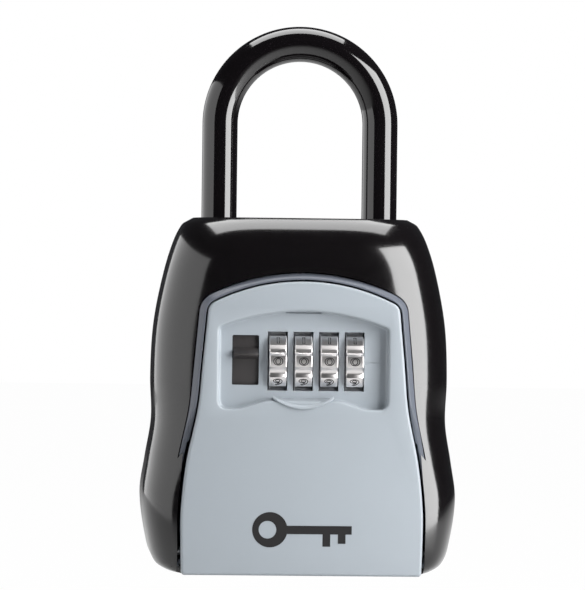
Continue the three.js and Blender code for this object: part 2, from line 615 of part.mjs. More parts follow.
let door = slabY(mouthOutline(DOOR_BOTTOM, () => 0), faceY, doorBackY)
  .add(rodX(-DOOR_HALF_BOTTOM + 0.7, DOOR_HALF_BOTTOM - 0.7, hingeY, HINGE_Z, KNUCKLE_RADIUS, 24))
  .subtract(slabY(pocketOutline(), pocketFront, doorBackY + 5))
  .subtract(slabY(recessOutline(), faceY - 5, recessFloorY))
  .add(slabY(lipOutline(), LIP_FRONT, recessFloorY))
  .subtract(box(coverLeft, coverRight, recessBackY, doorBackY + 5, coverBottom, coverTop))
  .subtract(rodX(-BODY_WIDTH, BODY_WIDTH, hingeY, HINGE_Z, PIN_RADIUS + CLEARANCE, 12))
  .subtract(box(SLIDE_X - SLIDE_WINDOW_WIDTH / 2, SLIDE_X + SLIDE_WINDOW_WIDTH / 2, faceY - 5, doorBackY + 5,
    slideWindowZ - SLIDE_WINDOW_HEIGHT / 2, slideWindowZ + SLIDE_WINDOW_HEIGHT / 2))
  .subtract(box(SLIDE_X - 4.4, SLIDE_X + 4.4, slidePlateY - CLEARANCE, doorBackY + 5,
    slideWindowZ - SLIDE_WINDOW_HEIGHT / 2 - 5.6, slideWindowZ + SLIDE_WINDOW_HEIGHT / 2 + 5));
for (const cut of windowCuts) door = door.subtract(cut);
door = door.subtract(rodX(FIRST_DIAL_X, coverRight - COVER_WALL, axisY, axisZ,
  HUB_DISC_RADIUS + CLEARANCE, 32));
for (const [x, z] of coverScrews) {
  door = door.subtract(rodY(x, doorBackY - SCREW_BITE - CLEARANCE, doorBackY + 5, z,
    SCREW_RADIUS + CLEARANCE));
}
add('door_panel', door, GREY_PAINT);

// Cover over the back of the dials: a tray open at the top, held by four tabs.
const tabHalf = 2.3;
let cover = box(coverLeft, coverRight, doorBackY + CLEARANCE, coverBackY, coverBottom, coverTop)
  .subtract(box(coverLeft + COVER_WALL, coverRight - COVER_WALL, doorBackY - 5, coverY,
    coverBottom + COVER_WALL, coverTop + 5));
for (const x of upperTabX) {
  cover = cover.add(box(x - tabHalf, x + tabHalf, coverY, coverBackY, coverTop - 2, coverTop + COVER_WALL))
    .add(box(x - tabHalf, x + tabHalf, doorBackY + CLEARANCE, coverBackY, coverTop, coverTop + COVER_WALL))
    .add(box(x - tabHalf, x + tabHalf, doorBackY + CLEARANCE, tabBackY, coverTop, coverTop + 5.8));
}
for (const x of lowerTabX) {
  cover = cover.add(box(x - 3, x + 3, doorBackY + CLEARANCE, tabBackY, coverBottom - 4.9,
    coverBottom + COVER_WALL));
}
for (const [x, z] of coverScrews) {
  cover = cover.subtract(rodY(x, doorBackY - 5, tabBackY + 5, z, SCREW_RADIUS + CLEARANCE));
}
const knobLeft = leverX - 2;
const knobHalf = 2.2;
const leverRight = leverX + LEVER_WIDTH;
cover = cover.subtract(box(knobLeft - CLEARANCE, leverRight + RESET_TRAVEL + 0.2, coverY - 1, coverBackY + 5,
  axisZ - knobHalf - CLEARANCE, axisZ + knobHalf + CLEARANCE));
add('mechanism_cover', cover, CHARCOAL_PLASTIC);
coverScrews.forEach(([x, z], i) => {
  const headY = tabBackY + 0.1 + HEAD_HEIGHT;
  add(`cover_screw_${i + 1}`, screwY(x, z, headY, doorBackY - SCREW_BITE - headY), ZINC_STEEL);
});

// Frame that holds the dials on their axle.
const frameLeft = FIRST_DIAL_X - DIAL_WIDTH / 2 - 1.7;
const frameFrontY = recessBackY + CLEARANCE;
const frameBackY = combY - 0.7;
const frameFloor = coverBottom + COVER_WALL + CLEARANCE;
const frameFloorTop = axisZ - DIAL_RADIUS - 0.9;
const ARM_HEIGHT = 3.6; // top of a fence finger over its tip
const frameTopZ = axisZ + Math.max(DIAL_RADIUS + 0.6, FINGER_TIP + ARM_HEIGHT + CLEARANCE);
const FRAME_TOP = 1.6;
const boltHalf = BOLT_WIDTH / 2;
const boltFrontY = axisY - 0.6;
const BOLT_DEPTH = 4;
const springTabHalf = 3;
const slideLeft = SLIDE_X - 4.1;
let frame = box(frameLeft, frameRight + FRAME_WALL, frameFrontY, frameBackY, frameFloor, frameFloorTop)
  .add(box(slideLeft, frameLeft + 1, slidePlateY + SLIDE_PLATE + CLEARANCE + 0.2, frameBackY,
    frameFloor, frameFloorTop))
  .add(box(-springTabHalf, springTabHalf, frameBackY - 1, tailY + TAIL_THICKNESS, frameFloor, frameFloorTop));
for (const x of [frameLeft, frameRight]) {
  frame = frame.add(box(x, x + FRAME_WALL, frameFrontY, frameBackY, frameFloor, frameTopZ + FRAME_TOP));
}
const topBar = box(frameLeft, frameRight + FRAME_WALL, frameFrontY, boltFrontY + BOLT_DEPTH, frameTopZ,
  frameTopZ + FRAME_TOP)
  .subtract(box(-boltHalf - CLEARANCE, boltHalf + CLEARANCE, boltFrontY - CLEARANCE, combY, frameTopZ - 5,
    frameTopZ + 5));
frame = frame.add(topBar)
  .subtract(rodX(frameLeft - 5, frameRight + 5, axisY, axisZ, AXLE_RADIUS + CLEARANCE, 16));
add('mechanism_frame', frame, DIE_CAST);

// Four leaf fingers under the dials, on one foot strip.
const LEAF = 0.4;
const leafInner = DIAL_RADIUS + 0.25;
const leafEnd = THREE.MathUtils.degToRad(320);
const footY = axisY + (leafInner + LEAF / 2) * Math.cos(leafEnd);
const footTop = axisZ + leafInner * Math.sin(leafEnd) + LEAF;
function leafOutline() {
  const outer = [];
  const inner = [];
  const steps = 6;
  for (let i = 0; i <= steps; i++) {
    const angle = THREE.MathUtils.degToRad(256 + (64 * i) / steps);
    outer.push([axisY + (leafInner + LEAF) * Math.cos(angle), axisZ + (leafInner + LEAF) * Math.sin(angle)]);
    inner.push([axisY + leafInner * Math.cos(angle), axisZ + leafInner * Math.sin(angle)]);
  }
  return [...outer, ...inner.reverse()];
}
let detent = box(dialXs[0] - 2, lastDialX + 2, footY, footY + LEAF * 1.5, frameFloorTop + 0.1, footTop);
for (const x of dialXs) detent = detent.add(slabX(leafOutline(), x - 1.7, x + 1.7));
add('detent_spring', detent, SPRING_STEEL);

// ---- release slide and fence comb -------------------------------------------------------------------
const ribHalf = 3.2;
const crestY = recessFloorY - 2;
const stemLeft = SLIDE_X - 3.3;
const stemRight = SLIDE_X - 0.1;
const stemLow = axisZ + 3.5;
const stemHigh = axisZ + 7.5;
const slide = box(slideLeft, SLIDE_X + 4.1, slidePlateY, slidePlateY + SLIDE_PLATE,
  slideWindowZ - SLIDE_WINDOW_HEIGHT / 2 - 0.9, slideWindowZ + SLIDE_WINDOW_HEIGHT / 2 + RELEASE_TRAVEL + 0.4)
  .add(slabX([[slidePlateY + 0.5, slideWindowZ + 3.4], [slidePlateY, slideWindowZ + 3.4],
    [crestY, slideWindowZ + 1.7], [crestY, slideWindowZ + 1.2], [slidePlateY, slideWindowZ + 0.3],
    [slidePlateY + 0.5, slideWindowZ + 0.3]], SLIDE_X - ribHalf, SLIDE_X + ribHalf))
  .add(box(stemLeft, stemRight, slidePlateY + 1, combY - CLEARANCE, stemLow, stemHigh))
  .subtract(rodY((stemLeft + stemRight) / 2, combY - 6, combY, (stemLow + stemHigh) / 2, 0.9));
add('release_slide', slide, CHARCOAL_PLASTIC);

const armBack = combY - axisY + 0.3;
const fingerOutline = [
  [-FINGER_TIP_HALF, FINGER_TIP], [FINGER_TIP_HALF, FINGER_TIP], [FINGER_TIP_HALF, FINGER_TIP + 2.4],
  [3.5, FINGER_TIP + 1.9], [5.5, FINGER_TIP], [armBack, FINGER_TIP - 1.8], [armBack, FINGER_TIP + 1],
  [5.5, FINGER_TIP + ARM_HEIGHT - 0.9], [3.5, FINGER_TIP + ARM_HEIGHT],
  [-FINGER_TIP_HALF, FINGER_TIP + ARM_HEIGHT],
].map(([y, z]) => [axisY + y, axisZ + z]);
const combRight = lastDialX + fingerStart + FINGER_WIDTH + 0.1;
const LUG_HALF = 1;
const lugLow = axisZ + 2.8;
const lugHigh = lugLow + 1.4;
let comb = box(stemLeft, combRight, combY, combY + COMB_THICKNESS, axisZ - 2, axisZ + 8)
  .subtract(box(-springTabHalf - 0.5, springTabHalf + 0.5, combY - 5, combY + 5, axisZ - 5, axisZ + 2))
  .add(box(-LUG_HALF, LUG_HALF, combY + 0.5, tailY + TAIL_THICKNESS + 0.2, lugLow, lugHigh))
  .subtract(rodY((stemLeft + stemRight) / 2, combY - 5, combY + 5, (stemLow + stemHigh) / 2, 0.9));
for (const x of dialXs) {
  comb = comb.add(slabX(fingerOutline, x + fingerStart, x + fingerStart + FINGER_WIDTH));
}
add('fence_comb', comb, ZINC_STEEL);
add('release_rivet', rodY((stemLeft + stemRight) / 2, combY - 5, combY + COMB_THICKNESS + 0.3,
  (stemLow + stemHigh) / 2, 0.6, 10)
  .add(rodY((stemLeft + stemRight) / 2, combY + COMB_THICKNESS + 0.1, combY + COMB_THICKNESS + 0.8,
    (stemLow + stemHigh) / 2, 1.4)), ZINC_STEEL);

// ---- slam bolt --------------------------------------------------------------------------------------
const boltTop = strikeBottom - BOLT_UNDER_STRIKE;
const tailBottom = axisZ - 4;
const linkBottom = frameTopZ;
const linkTop = linkBottom + 1.7;
const bolt = box(-boltHalf, boltHalf, boltFrontY, boltFrontY + BOLT_DEPTH, linkBottom, boltTop)
  .add(box(-boltHalf, boltHalf, boltFrontY, tailY + TAIL_THICKNESS, linkBottom, linkTop))
  .add(box(-boltHalf, boltHalf, tailY, tailY + TAIL_THICKNESS, tailBottom, linkTop))
  .subtract(box(-LUG_HALF - CLEARANCE, LUG_HALF + CLEARANCE, tailY - 5, tailY + 5,
    lugLow - RELEASE_TRAVEL - 0.15, lugHigh + CLEARANCE))
  .subtract(slabX([[boltFrontY - 1, boltTop - 2.2], [boltFrontY + 1.6, boltTop + 1],
    [boltFrontY - 1, boltTop + 1]], -BOLT_WIDTH, BOLT_WIDTH));
add('slam_bolt', bolt, ZINC_STEEL);

// ---- springs ----------------------------------------------------------------------------------------
class Coil extends THREE.Curve {
  constructor(x, y, low, high, radius, turns) {
    super();
    Object.assign(this, { x, y, low, high, radius, turns });
  }

  getPoint(t) {
    const angle = 2 * Math.PI * this.turns * t;
    return new THREE.Vector3(this.x + this.radius * Math.cos(angle), this.y + this.radius * Math.sin(angle),
      this.low + (this.high - this.low) * t);
  }
}

function spring(x, y, low, high, outerRadius, wire, turns) {
  const section = new THREE.Shape();
  section.absarc(0, 0, wire, 0, 2 * Math.PI);
  const coil = new Coil(x, y, low + wire, high - wire, outerRadius - wire, turns);
  return solid(new THREE.ExtrudeGeometry(section, { steps: turns * 8, curveSegments: 3, extrudePath: coil }));
}
add('release_spring', spring((stemLeft + stemRight) / 2, axisY + 3.2, frameFloorTop + 0.15, stemLow - 0.15,
  1.5, 0.25, 6), SPRING_STEEL);
add('bolt_spring', spring(0, tailY + TAIL_THICKNESS / 2, frameFloorTop + 0.15, tailBottom - 0.15,
  0.95, 0.2, 6), SPRING_STEEL);

// ---- dials, hubs and the code-setting carriage ------------------------------------------------------
// Ten raised number pads with a scooped grip between each pair. Pad 0 faces the front.
function dialOutline(radius) {
  const step = 360 / DIAL_POSITIONS;
  const padHalf = step * 0.27;
  const points = [];
  for (let i = 0; i < DIAL_POSITIONS; i++) {
    const middle = 180 + i * step;
    for (const share of [-1, 0, 1]) points.push([radius, middle + share * padHalf]);
    points.push([radius - GROOVE_DEPTH * 0.8, middle + step * 0.39]);
    points.push([radius - GROOVE_DEPTH, middle + step * 0.5]);
    points.push([radius - GROOVE_DEPTH * 0.8, middle + step * 0.61]);
  }
  return points.map(([r, degrees]) => {
    const angle = THREE.MathUtils.degToRad(degrees);
    return [axisY + r * Math.cos(angle), axisZ + r * Math.sin(angle)];
  });
}
const KEY_HALF = 0.5; // half width of the key between hub and dial
const keyOuter = DIAL_BORE_RADIUS + 0.9;
const hubSleeveLeft = -DIAL_WIDTH / 2 + 0.1;
const keyLeft = -DIAL_WIDTH / 2 + counterboreDepth + 0.1;
const keyRight = keyLeft + RESET_TRAVEL - 0.2;
const webRight = keyRight + 0.1; // the key is past this web when the axle is pushed over
dialXs.forEach((x, i) => {
  const left = x - DIAL_WIDTH / 2;
  const right = x + DIAL_WIDTH / 2;
  add(`dial_${i + 1}`, slabX(dialOutline(DIAL_RADIUS), left, right)
    .subtract(rodX(left - 1, left + counterboreDepth, axisY, axisZ, HUB_DISC_RADIUS + 0.5, 32))
    .subtract(rodX(left - 1, right + 1, axisY, axisZ, DIAL_BORE_RADIUS, 20))
    .subtract(rodX(x + webRight, right + 1, axisY, axisZ, keyOuter + 0.5, 24))
    .subtract(box(left - 1, x + webRight + 0.1, axisY - KEY_HALF - 0.2, axisY + KEY_HALF + 0.2,
      axisZ - keyOuter - 0.2, axisZ)), CHROME);
});
dialXs.forEach((x, i) => {
  const discX = x + discStart;
  add(`hub_${i + 1}`, rodX(discX, discX + HUB_DISC_WIDTH, axisY, axisZ, HUB_DISC_RADIUS, 32)
    .subtract(box(discX - 1, discX + 2, axisY - GATE_WIDTH / 2, axisY + GATE_WIDTH / 2, axisZ + GATE_BOTTOM,
      axisZ + HUB_DISC_RADIUS + 1))
    .add(rodX(x + hubSleeveLeft, discX + 0.1, axisY, axisZ, HUB_SLEEVE_RADIUS, 20))
    .add(box(x + keyLeft, x + keyRight, axisY - KEY_HALF, axisY + KEY_HALF, axisZ - keyOuter, axisZ - 2))
    .subtract(rodX(x - 10, x + 10, axisY, axisZ, HUB_BORE_RADIUS, 16)), ZINC_STEEL);
});
const clipX = frameLeft - RESET_TRAVEL - 0.9;
const CLIP_WIDTH = 0.6;
const axleLeft = clipX - 0.8;
add('dial_axle', rodX(axleLeft, leverRight + 0.1, axisY, axisZ, AXLE_RADIUS, 12)
  .subtract(rodX(clipX - 0.2, clipX + CLIP_WIDTH + 0.2, axisY, axisZ, 5, 12)
    .subtract(rodX(clipX - 1, clipX + 2, axisY, axisZ, 1, 12))), ZINC_STEEL);
add('axle_clip', rodX(clipX, clipX + CLIP_WIDTH, axisY, axisZ, 2.6, 16)
  .subtract(rodX(clipX - 1, clipX + 2, axisY, axisZ, 1.3, 12))
  .subtract(box(clipX - 1, clipX + 2, axisY - 1.3, axisY + 1.3, axisZ - 5, axisZ)), SPRING_STEEL);
add('reset_lever', box(leverX, leverRight, axisY - 2.6, coverBackY + 0.7, axisZ - knobHalf, axisZ + knobHalf)
  .add(box(knobLeft, leverRight, combY + 0.2, coverBackY + 0.7, axisZ - knobHalf, axisZ + knobHalf))
  .subtract(rodX(leverX - 1, leverRight + 1, axisY, axisZ, AXLE_RADIUS + CLEARANCE, 16)), CHARCOAL_PLASTIC);

export default object;
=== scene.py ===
"""The key lock box as it looks: fine shells, door, dials, shackle and fittings on the frame."""
import json
import math

import bmesh
import bpy
from mathutils import Matrix, Vector

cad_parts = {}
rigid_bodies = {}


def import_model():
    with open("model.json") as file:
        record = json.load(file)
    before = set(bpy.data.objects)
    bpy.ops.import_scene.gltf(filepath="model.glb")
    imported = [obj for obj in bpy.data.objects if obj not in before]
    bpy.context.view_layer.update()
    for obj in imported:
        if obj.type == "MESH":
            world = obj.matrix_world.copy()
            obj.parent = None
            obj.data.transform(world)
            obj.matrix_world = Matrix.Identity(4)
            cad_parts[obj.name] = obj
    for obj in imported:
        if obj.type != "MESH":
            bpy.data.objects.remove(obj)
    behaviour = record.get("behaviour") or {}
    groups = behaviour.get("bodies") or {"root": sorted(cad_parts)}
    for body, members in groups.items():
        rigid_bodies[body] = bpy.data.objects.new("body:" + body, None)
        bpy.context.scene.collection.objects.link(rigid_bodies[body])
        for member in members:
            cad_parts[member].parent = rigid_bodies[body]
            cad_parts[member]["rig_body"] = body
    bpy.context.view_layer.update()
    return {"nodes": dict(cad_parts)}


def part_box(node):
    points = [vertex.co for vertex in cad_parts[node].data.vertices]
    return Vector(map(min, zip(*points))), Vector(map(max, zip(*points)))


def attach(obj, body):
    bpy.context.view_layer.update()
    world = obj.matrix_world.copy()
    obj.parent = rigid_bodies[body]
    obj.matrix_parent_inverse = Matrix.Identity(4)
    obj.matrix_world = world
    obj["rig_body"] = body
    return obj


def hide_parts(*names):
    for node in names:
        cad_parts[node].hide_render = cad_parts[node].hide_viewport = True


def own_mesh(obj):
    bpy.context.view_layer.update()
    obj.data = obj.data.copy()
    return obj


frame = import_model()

MM = 0.001
CLEARANCE = 0.3
OVERCUT = 5  # how far a cutter runs on past what it cuts


def box_mm(node):
    """Lowest and highest corners of a CAD node in millimetres."""
    low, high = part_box(node)
    return [1000 * v for v in low], [1000 * v for v in high]


def middle_mm(node):
    """The middle of a CAD node's box in millimetres."""
    low, high = box_mm(node)
    return [(a + b) / 2 for a, b in zip(low, high)]


# Places come from the frame. The other sizes repeat the CAD model's, in millimetres.
shell_high = box_mm("bumper_shell")[1]
door_low, door_high = box_mm("door_panel")
dial_low, dial_high = box_mm("dial_1")
sleeve_low, sleeve_high = box_mm("shackle_sleeve")
bar_low, bar_high = box_mm("shackle_bar")
socket_low, socket_high = box_mm("shackle_socket_right")
latch_high = box_mm("shackle_latch")[1]
cover_low, cover_high = box_mm("mechanism_cover")

BODY_WIDTH = 83.0
BODY_HEIGHT = shell_high[2]
BODY_BACK = shell_high[1]
LIP_PROUD = 0.8
LIP_FRONT = door_low[1]
FACE_Y = LIP_FRONT + LIP_PROUD
SHELL_FRONT = FACE_Y + 1.3
RIM_Y = FACE_Y + 0.7
DOOR_BACK = FACE_Y + 6
DOOR_PEAK = door_high[2]
DOOR_BOTTOM = door_low[2]
ARCH_RADIUS = 52.0
DOOR_HALF_BOTTOM = 31.3
DOOR_HALF_TOP = 24.7
DOOR_GAP = 1.1
LINER_WALL = 1.3
LINER_OUTSIDE = DOOR_GAP + LINER_WALL
LINER_BACK = BODY_BACK - 3.2
SHELL_FLOOR = 2.3
LINER_BOTTOM = SHELL_FLOOR + CLEARANCE
LINER_FLOOR = LINER_BOTTOM + LINER_WALL
_, HINGE_Y, HINGE_Z = middle_mm("hinge_pin")
PIN_HOLE_RADIUS = 1.3
KNUCKLE_RADIUS = 5.6
FLOOR_START = HINGE_Y + 7.5
RECESS_Y = FACE_Y + 3.3
RECESS_BACK = RECESS_Y + 1.8
RECESS_HALF = 22.1
RECESS_TOP = DOOR_PEAK - 7.5
RECESS_SHOULDER = DOOR_PEAK - 11.9
RECESS_BOTTOM = DOOR_PEAK - 33.2
DIAL_RADIUS = 9.3
DIAL_WIDTH = dial_high[0] - dial_low[0]
DIAL_PITCH = 6.7
DIAL_COUNT = 4
DIAL_X = (dial_low[0] + dial_high[0]) / 2
AXIS_Y = FACE_Y + 9.5
AXIS_Z = DOOR_PEAK - 20.6
WINDOW_WIDTH = 5.2
WINDOW_HEIGHT = 15.0
SLIDE_X = middle_mm("release_slide")[0]
SLIDE_Z = AXIS_Z + 0.2
SLIDE_WINDOW = (7.0, 13.0)
SLIDE_PLATE_Y = RECESS_Y + 1.1
SHACKLE_Y = (bar_low[1] + bar_high[1]) / 2
BAR_RADIUS = (bar_high[1] - bar_low[1]) / 2
SLEEVE_RADIUS = (sleeve_high[1] - sleeve_low[1]) / 2
SHACKLE_SPREAD = sleeve_high[0] - SLEEVE_RADIUS
BEND_Z = sleeve_high[2] - SLEEVE_RADIUS - SHACKLE_SPREAD
SOCKET_RADIUS = (socket_high[0] - socket_low[0]) / 2
LEGS = (-SHACKLE_SPREAD, SHACKLE_SPREAD)
RIM_FADE = (0.255 * BODY_HEIGHT, 0.49 * BODY_HEIGHT)
RIM_BURIED = 5.2
SCREW_HOLE_RADIUS = 1.4


# ---- helpers -----------------------------------------------------------------------------------
def clamp(share):
    return min(max(share, 0.0), 1.0)


def ease(t):
    """A share from 0 to 1 that sets off and arrives slowly."""
    return t * t * (3 - 2 * t)


def corner_curve(a, tip, b, t):
    """The point at share t of a curve from a to b that is drawn towards tip."""
    return (1 - t) ** 2 * a + 2 * t * (1 - t) * tip + t * t * b


def to_object(name, verts, faces):
    """A mesh object from millimetre points."""
    mesh = bpy.data.meshes.new(name)
    mesh.from_pydata([[MM * c for c in v] for v in verts], [], faces)
    mesh.validate()
    work = bmesh.new()
    work.from_mesh(mesh)
    bmesh.ops.recalc_face_normals(work, faces=work.faces)
    work.to_mesh(mesh)
    work.free()
    piece = bpy.data.objects.new(name, mesh)
    bpy.context.scene.collection.objects.link(piece)
    return piece


def loft(name, rings, closed=True):
    """A closed skin through rings of equally many points."""
    count = len(rings[0])
    verts = [p for ring in rings for p in ring]
    faces = []
    for k in range(len(rings) - 1):
        for i in range(count):
            j = (i + 1) % count
            faces.append((k * count + i, k * count + j, (k + 1) * count + j, (k + 1) * count + i))
    if closed:
        faces.append(tuple(range(count)))
        faces.append(tuple(range((len(rings) - 1) * count, len(rings) * count)))
    return to_object(name, verts, faces)


def slab_y(name, outline, y0, y1):
    """An (x, z) outline carried from y0 to y1."""
    return loft(name, [[(x, y, z) for x, z in outline] for y in (y0, y1)])


def slab_x(name, outline, x0, x1):
    """A (y, z) outline carried from x0 to x1."""
    return loft(name, [[(x, y, z) for y, z in outline] for x in (x0, x1)])


def block(name, x0, x1, y0, y1, z0, z1):
    return slab_y(name, [(x0, z0), (x1, z0), (x1, z1), (x0, z1)], y0, y1)


def ring_points(centre, axis, radius, sides):
    """A circle of points round an axis named x, y or z."""
    points = []
    for i in range(sides):
        a = 2 * math.pi * i / sides
        u, v = radius * math.cos(a), radius * math.sin(a)
        x, y, z = centre
        points.append({"x": (x, y + u, z + v), "y": (x + u, y, z + v),
                       "z": (x + u, y + v, z)}[axis])
    return points


def rod(name, start, end, axis, radius, sides=64):
    return loft(name, [ring_points(p, axis, radius, sides) for p in (start, end)])


def tube_ring(centre, across, up, radius, sides):
    """A circle of points round centre, in the plane of two unit vectors."""
    angles = [2 * math.pi * k / sides for k in range(sides)]
    return [tuple(centre + across * radius * math.cos(a) + up * radius * math.sin(a))
            for a in angles]


def bake(piece):
    """Applies a piece's modifiers."""
    graph = bpy.context.evaluated_depsgraph_get()
    mesh = bpy.data.meshes.new_from_object(piece.evaluated_get(graph))
    piece.modifiers.clear()
    piece.data = mesh
    return piece


def combine(piece, tool, operation="DIFFERENCE"):
    """Cuts tool from piece, or joins it, and removes the tool."""
    change = piece.modifiers.new("cut", "BOOLEAN")
    change.operation = operation
    change.solver = "EXACT"
    change.object = tool
    change.material_mode = "TRANSFER"
    bake(piece)
    bpy.data.objects.remove(tool)
    return piece


def bevel(piece, width, segments=3, angle=35):
    change = piece.modifiers.new("bevel", "BEVEL")
    change.width = width * MM
    change.segments = segments
    change.limit_method = "ANGLE"
    change.angle_limit = math.radians(angle)
    change.use_clamp_overlap = True
    return bake(piece)


def clean(piece, merge=0.002):
    """Merges doubled points and flat neighbouring faces."""
    work = bmesh.new()
    work.from_mesh(piece.data)
    bmesh.ops.remove_doubles(work, verts=work.verts, dist=merge * MM)
    bmesh.ops.dissolve_limit(work, angle_limit=math.radians(1), verts=work.verts, edges=work.edges)
    work.to_mesh(piece.data)
    work.free()
    return piece


def weld(piece, merge=0.001):
    """Joins the doubled seam of a skin whose last ring lies on its first."""
    work = bmesh.new()
    work.from_mesh(piece.data)
    bmesh.ops.remove_doubles(work, verts=work.verts, dist=merge * MM)
    bmesh.ops.recalc_face_normals(work, faces=work.faces)
    work.to_mesh(piece.data)
    work.free()
    return piece


def smooth(piece, angle=32):
    piece.data.shade_smooth()
    piece.data.set_sharp_from_angle(angle=math.radians(angle))
    return piece


def finish(piece, body, look, slot_name, *nodes, angle=32):
    """Shades a piece, gives it its material and body, and hides the CAD nodes it stands for. The
    slot name is not used.
    """
    piece.data.materials.clear()
    piece.data.materials.append(look)
    smooth(piece, angle)
    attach(piece, body)
    if nodes:
        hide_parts(*nodes)
    return piece


def through(pairs):
    """A smooth function through (place, value) pairs."""
    def slope(i):
        before, after = pairs[max(i - 1, 0)], pairs[min(i + 1, len(pairs) - 1)]
        return (after[1] - before[1]) / (after[0] - before[0])

    def value(place):
        i = 0
        while i < len(pairs) - 2 and place > pairs[i + 1][0]:
            i += 1
        (x0, v0), (x1, v1) = pairs[i], pairs[i + 1]
        span = x1 - x0
        t = clamp((place - x0) / span)
        lead = (t - 2 * t ** 2 + t ** 3) * span * slope(i)
        trail = (t ** 3 - t ** 2) * span * slope(i + 1)
        return v0 + (v1 - v0) * ease(t) + lead + trail

    return value


def fillet(corners, steps=6):
    """An outline from (x, z, radius) corners, each with a radius turned into a curve."""
    most = 0.48  # of a side's length that one corner may use up
    outline = []
    count = len(corners)
    for i, (x, z, radius) in enumerate(corners):
        here = Vector((x, z))
        if not radius:
            outline.append((x, z))
            continue
        back = Vector(corners[i - 1][:2]) - here
        on = Vector(corners[(i + 1) % count][:2]) - here
        half = back.angle(on) / 2
        reach = min(radius / math.tan(half), most * back.length, most * on.length)
        a, b = here + back.normalized() * reach, here + on.normalized() * reach
        outline += [tuple(corner_curve(a, here, b, k / steps)) for k in range(steps + 1)]
    return outline


# ---- materials ---------------------------------------------------------------------------------
def material(name, colour, rough, grain, metal=0.0, mottle=0.04, ior=1.5, coat=0.0, bump=0.1,
             rough_swing=0.05, stretch=(1, 1, 1)):
    """A procedural finish: colour mottling, roughness variation and a fine grain in the normal.
    grain is the size of the grain in millimetres, rough_swing how far the roughness varies."""
    mottle_size, smear_size = 9.0, 3.0
    coat_rough, least_rough, grain_height = 0.08, 0.02, 0.05 * MM
    shader_material = bpy.data.materials.new(name)
    shader_material.use_nodes = True
    tree = shader_material.node_tree
    shader = tree.nodes["Principled BSDF"]
    shader.inputs["Metallic"].default_value = metal
    shader.inputs["IOR"].default_value = ior
    shader.inputs["Coat Weight"].default_value = coat
    shader.inputs["Coat Roughness"].default_value = coat_rough

    def new(kind, **values):
        node = tree.nodes.new(kind)
        for key, value in values.items():
            node.inputs[key].default_value = value
        return node

    place = tree.nodes.new("ShaderNodeTexCoord")
    scale = new("ShaderNodeMapping", Scale=[1000 * s for s in stretch])
    tree.links.new(place.outputs["Object"], scale.inputs["Vector"])

    def noise(size, detail):
        node = new("ShaderNodeTexNoise", Scale=1 / size, Detail=detail, Roughness=0.5)
        tree.links.new(scale.outputs["Vector"], node.inputs["Vector"])
        return node

    broad = noise(mottle_size, 3)
    shade = tree.nodes.new("ShaderNodeMix")
    shade.data_type = "RGBA"
    shade.inputs["A"].default_value = [c * (1 - mottle) for c in colour] + [1]
    shade.inputs["B"].default_value = [min(c * (1 + mottle), 1) for c in colour] + [1]
    tree.links.new(broad.outputs["Fac"], shade.inputs["Factor"])
    tree.links.new(shade.outputs["Result"], shader.inputs["Base Color"])
    smear = noise(smear_size, 4)
    swing = new("ShaderNodeMapRange")
    swing.inputs["To Min"].default_value = max(rough - rough_swing, least_rough)
    swing.inputs["To Max"].default_value = rough + rough_swing
    tree.links.new(smear.outputs["Fac"], swing.inputs["Value"])
    tree.links.new(swing.outputs["Result"], shader.inputs["Roughness"])
    fine = noise(grain, 2)
    raise_it = new("ShaderNodeBump", Strength=bump, Distance=grain_height)
    tree.links.new(fine.outputs["Fac"], raise_it.inputs["Height"])
    tree.links.new(raise_it.outputs["Normal"], shader.inputs["Normal"])
    return shader_material


SHELL = material("satin_black_moulding", (0.0035, 0.0028, 0.0032), 0.16, grain=0.35,
                 bump=0.12, mottle=0.15, coat=0.8)
VINYL = material("gloss_black_vinyl", (0.0035, 0.0026, 0.0032), 0.07, grain=2.5,
                 bump=0.06, mottle=0.1, coat=0.8, rough_swing=0.03)
PAINT = material("blue_grey_paint", (0.375, 0.415, 0.452), 0.36, grain=0.5,
                 bump=0.10, mottle=0.015)
# The rim's grey paint is darkened well below the door's blue-grey: painted shade for the shadowed
# gap beside the door.
RIM_PAINT_AND_PAINTED_SHADE = material("rim_paint", (0.125, 0.138, 0.168), 0.34, grain=0.5, bump=0.10, mottle=0.03)
CHROME = material("chrome_plate", (0.86, 0.83, 0.82), 0.31, grain=0.8, metal=1.0,
                  bump=0.10, mottle=0.05)
INK = material("dark_engraving", (0.006, 0.005, 0.006), 0.7, grain=0.3, mottle=0.1, ior=1.3)
PRINT = material("black_print", (0.010, 0.009, 0.010), 0.45, grain=0.3, bump=0.08, mottle=0.1)
NYLON = material("charcoal_nylon", (0.040, 0.036, 0.036), 0.46, grain=0.22,
                 bump=0.3, mottle=0.12)
ZINC = material("zinc_plated_steel", (0.55, 0.56, 0.58), 0.30, grain=0.4, metal=1.0,
                bump=0.12, mottle=0.08, stretch=(1, 1, 0.2))
SPRING = material("spring_steel", (0.42, 0.43, 0.44), 0.25, grain=0.5, metal=1.0,
                  bump=0.08, mottle=0.1)
CASTING = material("bare_casting", (0.40, 0.41, 0.42), 0.5, grain=0.25, metal=0.9,
                   bump=0.4, mottle=0.12)


# ---- outlines shared with the frame ------------------------------------------------------------
# Shares by height: the body's width, and how far the door has narrowed.
body_share = through([
    (0, 0.737), (0.012, 0.838), (0.035, 0.913), (0.091, 0.959), (0.218, 0.998), (0.318, 0.969),
    (0.43, 0.93), (0.55, 0.938), (0.686, 0.925), (0.798, 0.884), (0.913, 0.817), (0.983, 0.747),
    (1, 0.687)])
door_taper = through([
    (0, 0.04), (0.08, 0), (0.19, 0), (0.32, 0.2), (0.468, 0.62), (0.606, 0.8), (0.755, 1),
    (0.9, 1.15)])


def door_half(z):
    """Half the door's width at a height."""
    return DOOR_HALF_BOTTOM - (DOOR_HALF_BOTTOM - DOOR_HALF_TOP) * door_taper(z / BODY_HEIGHT)


